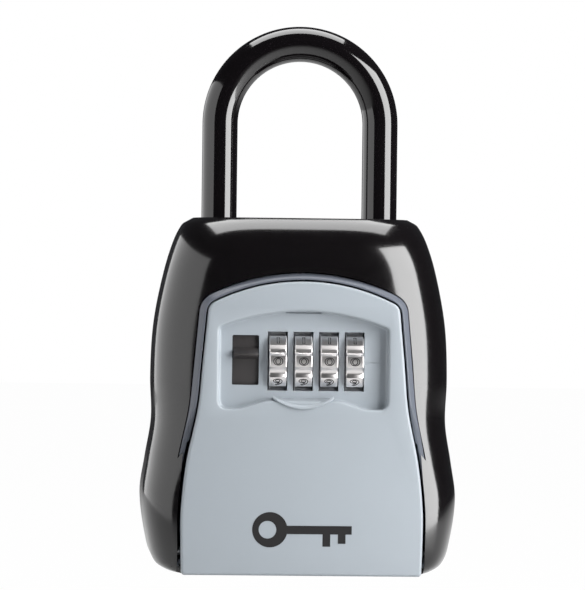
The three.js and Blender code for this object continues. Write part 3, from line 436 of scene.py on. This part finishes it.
def arch_z(x, gap):
    """The height of the door's arch, grown by a gap."""
    radius = ARCH_RADIUS + gap
    return DOOR_PEAK + gap - radius + math.sqrt(radius * radius - x * x)


def mouth_outline(bottom, gap_at, corner=0.0, side_steps=40, arch_steps=44):
    """The door's outline, grown by a gap, with its two upper corners rounded."""
    crown_gap = gap_at(DOOR_PEAK)
    corner_z = DOOR_PEAK
    for _ in range(12):  # closes in on where the side meets the arch
        corner_z = arch_z(door_half(corner_z) + gap_at(corner_z), crown_gap)
    corner_x = door_half(corner_z) + gap_at(corner_z)
    side = []
    for i in range(side_steps):
        z = bottom + (corner_z - corner - bottom) * i / (side_steps - 1)
        side.append((door_half(z) + gap_at(z), z))
    reach = corner_x - corner
    arch = []
    for i in range(arch_steps + 1):
        x = reach * (1 - 2 * i / arch_steps)
        arch.append((x, arch_z(x, crown_gap)))
    bend = []
    if corner:
        a, b, tip = Vector(side[-1]), Vector(arch[0]), Vector((corner_x, corner_z))
        bend = [tuple(corner_curve(a, tip, b, k / 7)) for k in range(1, 7)]
    right = side + bend
    return right + arch + [(-x, z) for x, z in reversed(right)]


def round_off(distance, length, depth):
    """How far a rounded edge has dropped at a distance from where it starts."""
    t = clamp(distance / length)
    return depth * (1 - math.sqrt(1 - t * t))


def shell_ring(z, steps=40):
    """The shell's section at a height: a crowned front, squarest at the foot, and rounded
    back corners."""
    half = BODY_WIDTH / 2 * body_share(z / BODY_HEIGHT)
    front = SHELL_FRONT + round_off(z - (BODY_HEIGHT - 14), 15.5, 12) + round_off(8 - z, 8.6, 5)
    back = BODY_BACK - round_off(z - (BODY_HEIGHT - 10), 11, 9) - round_off(6 - z, 6.5, 6)
    deep, rear = 16.0, 7.0  # depth of the crowned front, radius of the back corners
    # The superellipse's exponent. A larger one makes the front squarer.
    crown = 11 - 6 * ease(clamp((z - 4) / 34)) - 0.9 * clamp((z - 40) / 40)
    ring = []
    for i in range(-steps, steps + 1):
        a = math.pi / 2 * i / steps
        u = math.copysign(abs(math.sin(a)) ** (2 / crown), a)
        ring.append((half * u, front + deep * (1 - math.cos(a)), z))
    for x, start in ((half - rear, 0), (rear - half, 90)):
        for i in range(17):
            a = math.radians(start + 90 * i / 16)
            ring.append((x + rear * math.cos(a), back - rear + rear * math.sin(a), z))
    return ring


def liner_block(name, grow, land=None):
    """The liner's outer block, cut back towards the foot. With a land, its front edge slopes
    back from a land of that width."""
    slope_depth, lip_gap = 1.7, DOOR_GAP - 0.4
    outline = mouth_outline(LINER_BOTTOM - grow, lambda z: LINER_OUTSIDE + grow, corner=3.0)
    rings = [[(x, y, z) for x, z in outline] for y in (RIM_Y - grow, LINER_BACK + grow)]
    if land:
        lip = mouth_outline(LINER_BOTTOM, lambda z: lip_gap + land, corner=2.6)
        rings[0] = [(x, RIM_Y + slope_depth, z) for x, z in outline]
        rings.insert(0, [(x, RIM_Y, z) for x, z in lip])
    piece = loft(name, rings)
    front, buried = RIM_Y - grow - OVERCUT, RIM_Y + RIM_BURIED - grow
    fade_low, fade_high = RIM_FADE
    wedge = [(front, -OVERCUT), (buried, -OVERCUT), (buried, fade_low),
             (RIM_Y - grow - 0.1, fade_high), (front, fade_high)]
    return combine(piece, slab_x("wedge", wedge, -BODY_WIDTH, BODY_WIDTH))


def shell_gap(z):
    """The gap between door and shell, which takes in the rim where there is one."""
    share = ease(clamp((z - RIM_FADE[0]) / (RIM_FADE[1] - RIM_FADE[0])))
    return DOOR_GAP + (LINER_OUTSIDE + CLEARANCE - DOOR_GAP) * share


# ---- case --------------------------------------------------------------------------------------
def foot_cut(half):
    """The room at the foot in which the door's knuckle turns."""
    return block("foot_cut", -half, half, LIP_FRONT - OVERCUT, FLOOR_START, -OVERCUT,
                 HINGE_Z + KNUCKLE_RADIUS + 3)


def pin_hole():
    """The hinge pin's bore, through case and door alike."""
    return rod("pin_hole", (-60, HINGE_Y, HINGE_Z), (60, HINGE_Y, HINGE_Z), "x",
               PIN_HOLE_RADIUS, 32)


def make_shell():
    count = 110  # levels, closer together at the foot and the top
    levels = [BODY_HEIGHT * (0.5 - 0.5 * math.cos(math.pi * (i / count)))
              for i in range(count + 1)]
    shell = loft("bumper_shell_fine", [shell_ring(z) for z in levels])
    combine(shell, liner_block("hollow", CLEARANCE))
    opening = slab_y("opening", mouth_outline(-OVERCUT, shell_gap, corner=3.0),
                     LIP_FRONT - OVERCUT, RIM_Y + RIM_BURIED + CLEARANCE)
    combine(shell, opening)
    combine(shell, foot_cut(DOOR_HALF_BOTTOM + DOOR_GAP))
    for x in LEGS:
        combine(shell, rod("well", (x, SHACKLE_Y, socket_low[2] - 6),
                           (x, SHACKLE_Y, BODY_HEIGHT + OVERCUT), "z", SOCKET_RADIUS + CLEARANCE))
    finish(shell, "case", SHELL, "black_moulding", "bumper_shell", angle=40)


def make_liner():
    liner = liner_block("compartment_liner_fine", 0, land=0.45)
    inner = mouth_outline(LINER_FLOOR, lambda z: DOOR_GAP, corner=2.2)
    combine(liner, slab_y("inside", inner, RIM_Y + 2.5, LINER_BACK - LINER_WALL))
    mouth = mouth_outline(LINER_FLOOR, lambda z: DOOR_GAP - 0.4, corner=2.2)
    combine(liner, slab_y("mouth", mouth, LIP_FRONT - OVERCUT, RIM_Y + 2.6))
    combine(liner, foot_cut(DOOR_HALF_BOTTOM + 0.5))
    bevel(clean(liner), 0.16, 2, 50)
    combine(liner, pin_hole())
    for x in LEGS:
        combine(liner, rod("leg_hole", (x, SHACKLE_Y, latch_high[2]), (x, SHACKLE_Y, BODY_HEIGHT),
                           "z", BAR_RADIUS + CLEARANCE))
    boss_radius, boss_height = 3.4, 1.5
    for i in range(4):
        x, _, z = middle_mm(f"liner_screw_{i + 1}")
        combine(liner, rod("boss", (x, LINER_BACK - LINER_WALL - boss_height, z),
                           (x, LINER_BACK - 0.2, z), "y", boss_radius, 48), "UNION")
        combine(liner, rod("hole", (x, LINER_BACK - 6, z), (x, LINER_BACK + OVERCUT, z), "y",
                           SCREW_HOLE_RADIUS, 32))
    # The liner takes the rim's grey, darkened as painted shade for the gap round the door.
    finish(liner, "case", RIM_PAINT_AND_PAINTED_SHADE, "rim_paint", "compartment_liner")


def make_sockets():
    """Collars round the legs, with rounded rims and a ledge for the sleeve's end."""
    top, bottom, ledge = socket_high[2], socket_low[2], BODY_HEIGHT - 5
    outer, inner, bore = SOCKET_RADIUS, SLEEVE_RADIUS, BAR_RADIUS + 0.3
    profile = [
        (bore, bottom), (outer - 0.4, bottom), (outer, bottom + 0.4), (outer, top - 0.5),
        (outer - 0.15, top - 0.15), (outer - 0.5, top), (inner + 0.8, top),
        (inner + 0.42, top - 0.15), (inner + 0.3, top - 0.5), (inner + 0.3, ledge), (bore, ledge)]
    sides = 72
    for x, name in zip(LEGS, ("left", "right")):
        rings = []
        for i in range(sides + 1):
            a = 2 * math.pi * i / sides
            rings.append([(x + r * math.cos(a), SHACKLE_Y + r * math.sin(a), z)
                          for r, z in profile])
        socket = weld(loft(f"shackle_socket_{name}_fine", rings, closed=False))
        finish(socket, "case", SHELL, "black_moulding", f"shackle_socket_{name}")


# ---- shackle -----------------------------------------------------------------------------------
def heading(path, i):
    """The direction of a path of points at one of them."""
    return (Vector(path[min(i + 1, len(path) - 1)]) - Vector(path[max(i - 1, 0)])).normalized()


def sweep(name, path, radius, sides=32):
    """A closed tube along a path in a plane of constant y."""
    rings = []
    for i, point in enumerate(path):
        ahead = heading(path, i)
        across = Vector((0, 1, 0)).cross(ahead).normalized()
        rings.append(tube_ring(Vector(point), across, ahead.cross(across), radius, sides))
    return loft(name, rings)


def hoop(foot, leg_steps=12, bend_steps=72):
    """The shackle's centre line, from one foot over the bend to the other."""
    path = [(SHACKLE_SPREAD, SHACKLE_Y, foot + (BEND_Z - foot) * i / leg_steps)
            for i in range(leg_steps)]
    for i in range(bend_steps + 1):
        a = math.pi * i / bend_steps
        path.append((SHACKLE_SPREAD * math.cos(a), SHACKLE_Y,
                     BEND_Z + SHACKLE_SPREAD * math.sin(a)))
    path += [(-x, y, z) for x, y, z in reversed(path[:leg_steps])]
    return path


def make_shackle():
    bar = sweep("shackle_bar_fine", hoop(bar_low[2]), BAR_RADIUS)
    bevel(clean(bar), 0.6, 3, 60)
    notch_depth = 2.1
    notch_low, notch_high = latch_high[2] - 2.9, latch_high[2] + 0.3
    for x in LEGS:
        combine(bar, block("notch", x - 6, x + 6, SHACKLE_Y + BAR_RADIUS - notch_depth,
                           SHACKLE_Y + 10, notch_low, notch_high))
    finish(bar, "shackle", ZINC, "zinc_steel", "shackle_bar")
    ends = sleeve_low[2]
    sleeve = sweep("shackle_sleeve_fine", hoop(ends), SLEEVE_RADIUS, 48)
    combine(sleeve, sweep("bore", hoop(ends - 4), BAR_RADIUS + 0.25))
    finish(sleeve, "shackle", VINYL, "black_vinyl", "shackle_sleeve")


# ---- door --------------------------------------------------------------------------------------
def recess_outline():
    """The recess: an arched top, and a foot that rises in the middle over the thumb pull."""
    rise = RECESS_TOP - RECESS_SHOULDER
    radius = (RECESS_HALF ** 2 + rise ** 2) / (2 * rise)
    low = RECESS_BOTTOM
    corners = [(-RECESS_HALF, low, 2.8), (-16.5, low + 0.25, 9), (-9.6, low + 2.4, 9),
               (9.6, low + 2.4, 9), (16.5, low + 0.25, 9), (RECESS_HALF, low, 2.8),
               (RECESS_HALF, RECESS_SHOULDER, 2.2)]
    steps = 26
    for i in range(1, steps):
        x = RECESS_HALF * (1 - 2 * i / steps)
        corners.append((x, RECESS_TOP - radius + math.sqrt(radius * radius - x * x), 0))
    corners.append((-RECESS_HALF, RECESS_SHOULDER, 2.2))
    return fillet(corners)


def thumb_pull():
    """The lens-shaped lip under the dials: a ramp out of the recess with a rounded lower edge."""
    half, steps = 7.9, 40
    top = RECESS_BOTTOM + 3.0
    rings = []
    for i in range(steps + 1):
        u = -1 + 2 * i / steps
        swell = max(1 - u * u, 0.0)
        low = top - 0.3 - 2.6 * swell
        proud = FACE_Y + 0.02 - (LIP_PROUD - 0.02) * swell ** 0.45
        section = [(RECESS_Y + 0.4, top + 0.1), (RECESS_Y - 0.6, top), (proud + 0.35, low + 0.9),
                   (proud + 0.08, low + 0.55), (proud, low + 0.3), (proud + 0.08, low + 0.1),
                   (proud + 0.3, low), (RECESS_Y + 0.4, low)]
        rings.append([(half * u, y, z) for y, z in section])
    return loft("lip", rings)


def pocket_outline(low, high):
    """The hollow in the door's back, a wall's width inside its outline."""
    wall, steps = 3, 24
    right = []
    for i in range(steps + 1):
        z = low + (high - low) * i / steps
        right.append((door_half(z) - wall, z))
    return right + [(-x, z) for x, z in reversed(right)]


def make_door():
    front, behind = FACE_Y - OVERCUT, DOOR_BACK + OVERCUT
    outline = mouth_outline(DOOR_BOTTOM, lambda z: 0.25, corner=1.6)
    door = slab_y("door_panel_fine", outline, FACE_Y, DOOR_BACK)
    combine(door, slab_y("recess", recess_outline(), front, RECESS_Y))
    bevel(clean(door), 0.75, 5, 40)
    pocket = pocket_outline(HINGE_Z + KNUCKLE_RADIUS + 1, cover_low[2] - 1.1)
    combine(door, slab_y("pocket", pocket, FACE_Y + 2.2, behind))
    combine(door, thumb_pull(), "UNION")
    knuckle_end = DOOR_HALF_BOTTOM - 0.7
    knuckle = rod("knuckle", (-knuckle_end, HINGE_Y, HINGE_Z), (knuckle_end, HINGE_Y, HINGE_Z),
                  "x", KNUCKLE_RADIUS, 96)
    combine(door, bevel(knuckle, 0.4, 3, 50), "UNION")
    combine(door, pin_hole())
    combine(door, block("well", cover_low[0] + 0.001, cover_high[0], RECESS_BACK, behind,
                        AXIS_Z - 12.6, AXIS_Z + 11.8))
    # the release slide's window and the room for its plate
    slide_half, slide_tall = SLIDE_WINDOW[0] / 2, SLIDE_WINDOW[1] / 2
    slide_window = block("slide_window", SLIDE_X - slide_half, SLIDE_X + slide_half, front, behind,
                         SLIDE_Z - slide_tall, SLIDE_Z + slide_tall)
    combine(door, bevel(slide_window, 0.35, 3, 50))
    combine(door, block("slide_well", SLIDE_X - 4.4, SLIDE_X + 4.4, SLIDE_PLATE_Y - CLEARANCE,
                        behind, SLIDE_Z - slide_tall - 5.6, SLIDE_Z + slide_tall + 5))
    # the dials' windows and the room for the dials
    half, tall = WINDOW_WIDTH / 2, WINDOW_HEIGHT / 2
    for i in range(DIAL_COUNT):
        x = DIAL_X + i * DIAL_PITCH
        window = block("window", x - half, x + half, front, DOOR_BACK + 1, AXIS_Z - tall,
                       AXIS_Z + tall)
        combine(door, bevel(window, 0.45, 3, 50))
        combine(door, rod("relief", (x - half, AXIS_Y, AXIS_Z), (x + half, AXIS_Y, AXIS_Z), "x",
                          DIAL_RADIUS + 0.6, 72))
    cover_wall, disc_room = 1.1, 5.55
    combine(door, rod("disc_relief", (DIAL_X, AXIS_Y, AXIS_Z),
                      (cover_high[0] - cover_wall, AXIS_Y, AXIS_Z), "x", disc_room, 64))
    combine(door, block("index_line", SLIDE_X + 4, RECESS_HALF - 0.9, front, RECESS_Y + 0.22,
                        AXIS_Z - 0.35, AXIS_Z - 0.02))
    combine(door, block("drip_slot", -4.7, 4.7, RECESS_Y - 1.4, RECESS_Y + 0.9, RECESS_TOP - 0.62,
                        RECESS_TOP - 0.28))
    for i in range(4):
        x, _, z = middle_mm(f"cover_screw_{i + 1}")
        combine(door, rod("hole", (x, DOOR_BACK - 3.3, z), (x, behind, z), "y",
                          SCREW_HOLE_RADIUS, 24))
    finish(door, "door", PAINT, "door_paint", "door_panel", angle=28)


def make_emblem():
    """A generic printed key: a ringed bow, a shaft and two bits."""
    centre_z, length, thickness = 12.6, 26.0, 0.05
    bow, hole, shaft = 4.6, 2.3, 1.1
    left, right = bow - length / 2, length / 2
    start = math.asin(shaft / bow)
    outline = []
    steps = 48
    for i in range(steps + 1):
        a = start + (2 * math.pi - 2 * start) * i / steps
        outline.append((left + bow * math.cos(a), centre_z + bow * math.sin(a)))
    low = centre_z - shaft
    for back, drop in ((7.6, 0), (7.6, 3.2), (5.6, 3.2), (5.6, 0), (3.6, 0), (3.6, 2.4),
                       (1.6, 2.4), (1.6, 0), (0, 0)):
        outline.append((right - back, low - drop))
    outline.append((right, centre_z + shaft))
    key = slab_y("printed_key", outline, FACE_Y - thickness, FACE_Y + thickness)
    combine(key, rod("bow_hole", (left - 0.6, FACE_Y - 1, centre_z),
                     (left - 0.6, FACE_Y + 1, centre_z), "y", hole))
    finish(key, "door", PRINT, "charcoal_plastic")


# ---- dials -------------------------------------------------------------------------------------
def dial_radius(degrees):
    """Radius of a dial, with pads at every 36 degrees and a scooped grip between them."""
    step, pad, scoop = 36.0, 9.7, 0.78
    off = abs((degrees + step / 2) % step - step / 2)
    if off <= pad:
        return DIAL_RADIUS
    u = (step / 2 - off) / (step / 2 - pad)
    return DIAL_RADIUS - scoop * (1 - u * u) ** 0.8


def digit_outlines(digit):
    """The closed outlines of a digit, scaled to the wide low shape used on the dials."""
    height, most_width, most_stretch = 2.0, 3.0, 1.9
    text = bpy.data.curves.new("digit", "FONT")
    text.body = str(digit)
    text.fill_mode = "NONE"
    text.resolution_u = 4
    holder = bpy.data.objects.new("digit", text)
    bpy.context.scene.collection.objects.link(holder)
    mesh = bpy.data.meshes.new_from_object(holder)
    bpy.data.objects.remove(holder)
    links = {}
    for edge in mesh.edges:
        a, b = edge.vertices
        links.setdefault(a, []).append(b)
        links.setdefault(b, []).append(a)
    loops, seen = [], set()
    for start in sorted(links):
        if start in seen:
            continue
        loop, here = [], start
        while here is not None:
            seen.add(here)
            loop.append(mesh.vertices[here].co.copy())
            here = next((k for k in links[here] if k not in seen), None)
        loops.append(loop)
    xs = [v.x for loop in loops for v in loop]
    ys = [v.y for loop in loops for v in loop]
    tall = height / (max(ys) - min(ys))
    wide = min(most_width / (max(xs) - min(xs)), most_stretch * tall)
    middle_x, middle_y = (max(xs) + min(xs)) / 2, (max(ys) + min(ys)) / 2
    return [[((v.x - middle_x) * wide, (v.y - middle_y) * tall) for v in loop]
            for loop in loops]


def digit_lines(digit, stroke=0.135, sides=8):
    """Thin ink lines along a digit's outlines, wrapped round the dial at its position."""
    deep, least_step = DIAL_RADIUS - 0.06, 0.03
    lines = []
    for loop in digit_outlines(digit):
        points = []
        for x, up in loop:
            a = math.radians(-digit * 36.0) - up / DIAL_RADIUS
            points.append(Vector((x, -deep * math.cos(a), -deep * math.sin(a))))
        spaced = [p for i, p in enumerate(points) if (p - points[i - 1]).length > least_step]
        rings, count = [], len(spaced)
        for i, point in enumerate(spaced):
            ahead = (spaced[(i + 1) % count] - spaced[i - 1]).normalized()
            out = Vector((0, point.y, point.z)).normalized()
            side = ahead.cross(out).normalized()
            rings.append(tube_ring(point, side, out, stroke, sides))
        lines.append(weld(loft(f"digit_{digit}", rings + rings[:1], closed=False)))
    return lines


def digit_ring():
    """All ten digits of a dial in one mesh."""
    work = bmesh.new()
    for digit in range(10):
        for line in digit_lines(digit):
            work.from_mesh(line.data)
            bpy.data.objects.remove(line)
    mesh = bpy.data.meshes.new("digits")
    work.to_mesh(mesh)
    work.free()
    return mesh


def make_dials():
    half, chamfer = DIAL_WIDTH / 2, 0.28
    counterbore_radius, counterbore_depth, bore_radius = 5.75, 1.2, 3.1
    steps = 10 * 24
    angles = [360 * i / steps for i in range(steps)]
    rings = []
    for x, cut in ((-half, chamfer + 0.1), (-half + 0.08, chamfer * 0.5), (-half + chamfer, 0),
                   (0, 0), (half - chamfer, 0), (half - 0.08, chamfer * 0.5),
                   (half, chamfer + 0.1)):
        ring = []
        for degrees in angles:
            r = dial_radius(degrees) - cut
            a = math.radians(degrees)
            ring.append((x, -r * math.cos(a), r * math.sin(a)))
        rings.append(ring)
    master = loft("dial_master", rings)
    combine(master, rod("counterbore", (-half - 1, 0, 0), (-half + counterbore_depth, 0, 0), "x",
                        counterbore_radius))
    combine(master, rod("bore", (-half - 1, 0, 0), (half + 1, 0, 0), "x", bore_radius, 48))
    digits = digit_ring()
    for i in range(DIAL_COUNT):
        place = Matrix.Translation(Vector((DIAL_X + i * DIAL_PITCH, AXIS_Y, AXIS_Z)) * MM)
        for name, source, look, nodes in (("fine", master.data, CHROME, [f"dial_{i + 1}"]),
                                          ("digits", digits, INK, [])):
            mesh = source.copy()
            mesh.transform(place)
            piece = bpy.data.objects.new(f"dial_{i + 1}_{name}", mesh)
            bpy.context.scene.collection.objects.link(piece)
            finish(piece, f"dial_wheel_{i + 1}", look, "chrome", *nodes)
    bpy.data.objects.remove(master)


# ---- fittings ----------------------------------------------------------------------------------
def screw_rings(length, sides=40):
    """A pan head and a shank with thread ridges, from the head at 0 along z."""
    head, shank, groove, pitch = 2.08, 1.1, 0.88, 0.5
    profile = [(1.2, 0.03), (1.7, 0.14), (2.0, 0.4), (head, 0.75), (head, 1.2), (shank, 1.2)]
    depth = 1.5
    while depth < length - 1.0:
        profile += [(shank, depth), (groove, depth + pitch / 2)]
        depth += pitch
    profile += [(0.9, length - 0.6), (0.5, length - 0.05)]
    return [[(r * math.cos(2 * math.pi * k / sides), r * math.sin(2 * math.pi * k / sides), z)
             for k in range(sides)] for r, z in profile]


def make_screws():
    """Pan-head screws with a cross recess, each turned a little differently."""
    rows = [(f"liner_screw_{i}", "case", "y", 1) for i in (1, 2, 3, 4)]
    rows += [(f"latch_housing_screw_{i}", "case", "y", 1) for i in (1, 2)]
    rows += [(f"cover_screw_{i}", "door", "y", -1) for i in (1, 2, 3, 4)]
    rows += [("strike_screw", "case", "z", 1)]
    slot_long, slot_short, slot_deep = 1.25, 0.26, 0.65
    for number, (node, body, axis, way) in enumerate(rows):
        low, high = box_mm(node)
        along = "xyz".index(axis)
        screw = loft(f"{node}_fine", screw_rings(high[along] - low[along]))
        for x, y in ((slot_long, slot_short), (slot_short, slot_long)):
            combine(screw, block("drive", -x, x, -y, y, -1, slot_deep))
        turn = Matrix.Rotation(math.radians(17 + 31 * number), 4, "Z")
        if axis == "y":
            turn = Matrix.Rotation(math.radians(-90 * way), 4, "X") @ turn
        start = Vector(middle_mm(node))
        start[along] = low[along] if way > 0 else high[along]
        screw.data.transform(Matrix.Translation(start * MM) @ turn)
        finish(screw, body, ZINC, "zinc_steel", node)


def make_spring(node, body, wire, turns):
    """A coil of a number of turns, with nearly closed turns at its ends."""
    turn_steps, closed_turns, end_rise = 28, 0.8, 0.06
    low, high = box_mm(node)
    centre_x, centre_y, _ = middle_mm(node)
    radius = (high[0] - low[0]) / 2 - wire
    tall = high[2] - low[2] - 2 * wire
    steps = turns * turn_steps
    path = []
    for i in range(steps + 1):
        t = i / steps
        a = 2 * math.pi * turns * t
        rise = clamp((t * turns - closed_turns) / (turns - 2 * closed_turns))
        z = low[2] + wire + tall * (end_rise * t + (1 - end_rise) * rise)
        path.append((centre_x + radius * math.cos(a), centre_y + radius * math.sin(a), z))
    rings = []
    for i, point in enumerate(path):
        ahead = heading(path, i)
        out = Vector((point[0] - centre_x, point[1] - centre_y, 0)).normalized()
        up = ahead.cross(out)
        rings.append(tube_ring(Vector(point), up.cross(ahead), up, wire, 10))
    return finish(loft(f"{node}_fine", rings), body, SPRING, "spring_steel", node)


def refine(node, width, look, slot_name):
    """A bevelled copy of a CAD node, in place of it."""
    source = frame["nodes"][node]
    piece = bpy.data.objects.new(f"{node}_fine", source.data.copy())
    bpy.context.scene.collection.objects.link(piece)
    clean(piece)
    if width:
        bevel(piece, width, 2, 45)
    finish(piece, source["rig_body"], look, slot_name, node, angle=38)


make_shell()
make_liner()
make_sockets()
make_shackle()
make_door()
make_emblem()
make_dials()
make_screws()
release_coil = make_spring("release_spring", "door", 0.25, 8)
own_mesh(release_coil)
make_spring("bolt_spring", "door", 0.2, 6)
FITTINGS = [  # node, bevel width, look, slot
    ("release_slide", 0.22, NYLON, "charcoal_plastic"),
    ("reset_lever", 0.2, NYLON, "charcoal_plastic"),
    ("shackle_latch", 0.3, NYLON, "charcoal_plastic"),
    ("latch_housing", 0.3, NYLON, "charcoal_plastic"),
    ("mechanism_cover", 0.3, NYLON, "charcoal_plastic"),
    ("mechanism_frame", 0.15, CASTING, "die_cast"),
    ("fence_comb", 0.12, ZINC, "zinc_steel"), ("slam_bolt", 0.2, ZINC, "zinc_steel"),
    ("strike_plate", 0.2, ZINC, "zinc_steel"), ("release_rivet", 0, ZINC, "zinc_steel"),
    ("hinge_pin", 0.2, ZINC, "zinc_steel"), ("dial_axle", 0, ZINC, "zinc_steel"),
    ("axle_clip", 0, SPRING, "spring_steel"), ("detent_spring", 0, SPRING, "spring_steel"),
    ("latch_spring", 0, SPRING, "spring_steel")]
FITTINGS += [(f"hub_{i + 1}", 0.1, ZINC, "zinc_steel") for i in range(DIAL_COUNT)]
for fitting in FITTINGS:
    refine(*fitting)


# ---- stage, lights and camera ------------------------------------------------------------------
def by_camera_ray(tree, first, second, share=None):
    """A mix of two shaders: the second for what the camera sees, the first for other rays."""
    path = tree.nodes.new("ShaderNodeLightPath")
    either = tree.nodes.new("ShaderNodeMixShader")
    seen = path.outputs["Is Camera Ray"]
    if share is not None:
        part = tree.nodes.new("ShaderNodeMath")
        part.operation = "MULTIPLY"
        part.inputs[1].default_value = share
        tree.links.new(seen, part.inputs[0])
        seen = part.outputs["Value"]
    tree.links.new(seen, either.inputs["Fac"])
    tree.links.new(first, either.inputs[1])
    tree.links.new(second, either.inputs[2])
    return either.outputs["Shader"]


def pale_floor():
    """A pale studio floor, overexposed to the camera like the photograph's ground."""
    look = material("pale_floor", (0.55, 0.55, 0.55), 0.7, grain=3.0, bump=0.02, mottle=0.01)
    tree = look.node_tree
    glow = tree.nodes.new("ShaderNodeEmission")
    surface = by_camera_ray(tree, tree.nodes["Principled BSDF"].outputs["BSDF"],
                            glow.outputs["Emission"], 0.985)
    tree.links.new(surface, tree.nodes["Material Output"].inputs["Surface"])
    return look


def background(tree, colour, strength):
    node = tree.nodes.new("ShaderNodeBackground")
    node.inputs["Color"].default_value = (*colour, 1)
    node.inputs["Strength"].default_value = strength
    return node.outputs["Background"]


def make_stage():
    """A floor, and a world that is white to the camera and nearly dark to everything else."""
    top, thick, reach = -10.5, 2, 3000  # the top lies under the door at its full swing
    floor = loft("floor", [[(-reach, y, top), (reach, y, top), (reach, y, top - thick),
                            (-reach, y, top - thick)] for y in (-reach, reach)])
    floor.data.materials.append(pale_floor())
    world = bpy.data.worlds.new("studio")
    bpy.context.scene.world = world
    world.use_nodes = True
    tree = world.node_tree
    tree.nodes.clear()
    seen = background(tree, (1, 1, 1), 1.0)
    around = background(tree, (0.9, 0.92, 1.0), 0.03)
    out = tree.nodes.new("ShaderNodeOutputWorld")
    tree.links.new(by_camera_ray(tree, around, seen), out.inputs["Surface"])


def softbox(name, place, target, width, height, power):
    """A white rectangular light in metres, aimed at a point."""
    lamp = bpy.data.lights.new(name, "AREA")
    lamp.shape = "RECTANGLE"
    lamp.size, lamp.size_y = width, height
    lamp.energy = power
    holder = bpy.data.objects.new(name, lamp)
    holder.location = place
    holder.rotation_euler = (Vector(target) - Vector(place)).to_track_quat("-Z", "Y").to_euler()
    bpy.context.scene.collection.objects.link(holder)


def make_lights():
    """A large dim card on the left, a bright box on the right and a strip overhead."""
    for name, place, target, width, height, power in (
            ("left_card", (-0.62, 0.25, 0.14), (0, 0.25, 0.06), 1.9, 0.62, 4.6),
            ("right_box", (0.344, -0.25, 0.17), (0, 0, 0.06), 0.315, 0.46, 3.6),
            ("top_strip", (0.0, 0.09, 0.75), (0, 0.09, 0), 0.7, 0.54, 5.6)):
        softbox(name, place, target, width, height, power)


def make_camera():
    """A level camera a little to the left, framed like the photograph."""
    scene = bpy.context.scene
    scene.view_settings.view_transform = "Standard"
    width_px, mm_per_px, sensor = 585, 0.266, 36.0
    distance, yaw, roll = 1200.0, math.radians(3.3), math.radians(0.7)
    target = Vector((-1.8, 0.0, 73.8))
    eye = target + Vector((-distance * math.sin(yaw), -distance * math.cos(yaw), 0))
    camera = bpy.data.cameras.new("camera")
    camera.sensor_fit = "HORIZONTAL"
    camera.sensor_width = sensor
    camera.lens = sensor * distance / (mm_per_px * width_px)
    camera.clip_start, camera.clip_end = 0.05, 20.0
    holder = bpy.data.objects.new("camera", camera)
    holder.location = eye * MM
    look = (target - eye).to_track_quat("-Z", "Y")
    holder.rotation_euler = (look @ Matrix.Rotation(roll, 3, "Z").to_quaternion()).to_euler()
    scene.collection.objects.link(holder)
    scene.camera = holder


make_stage()
make_lights()
make_camera()
bpy.context.view_layer.update()
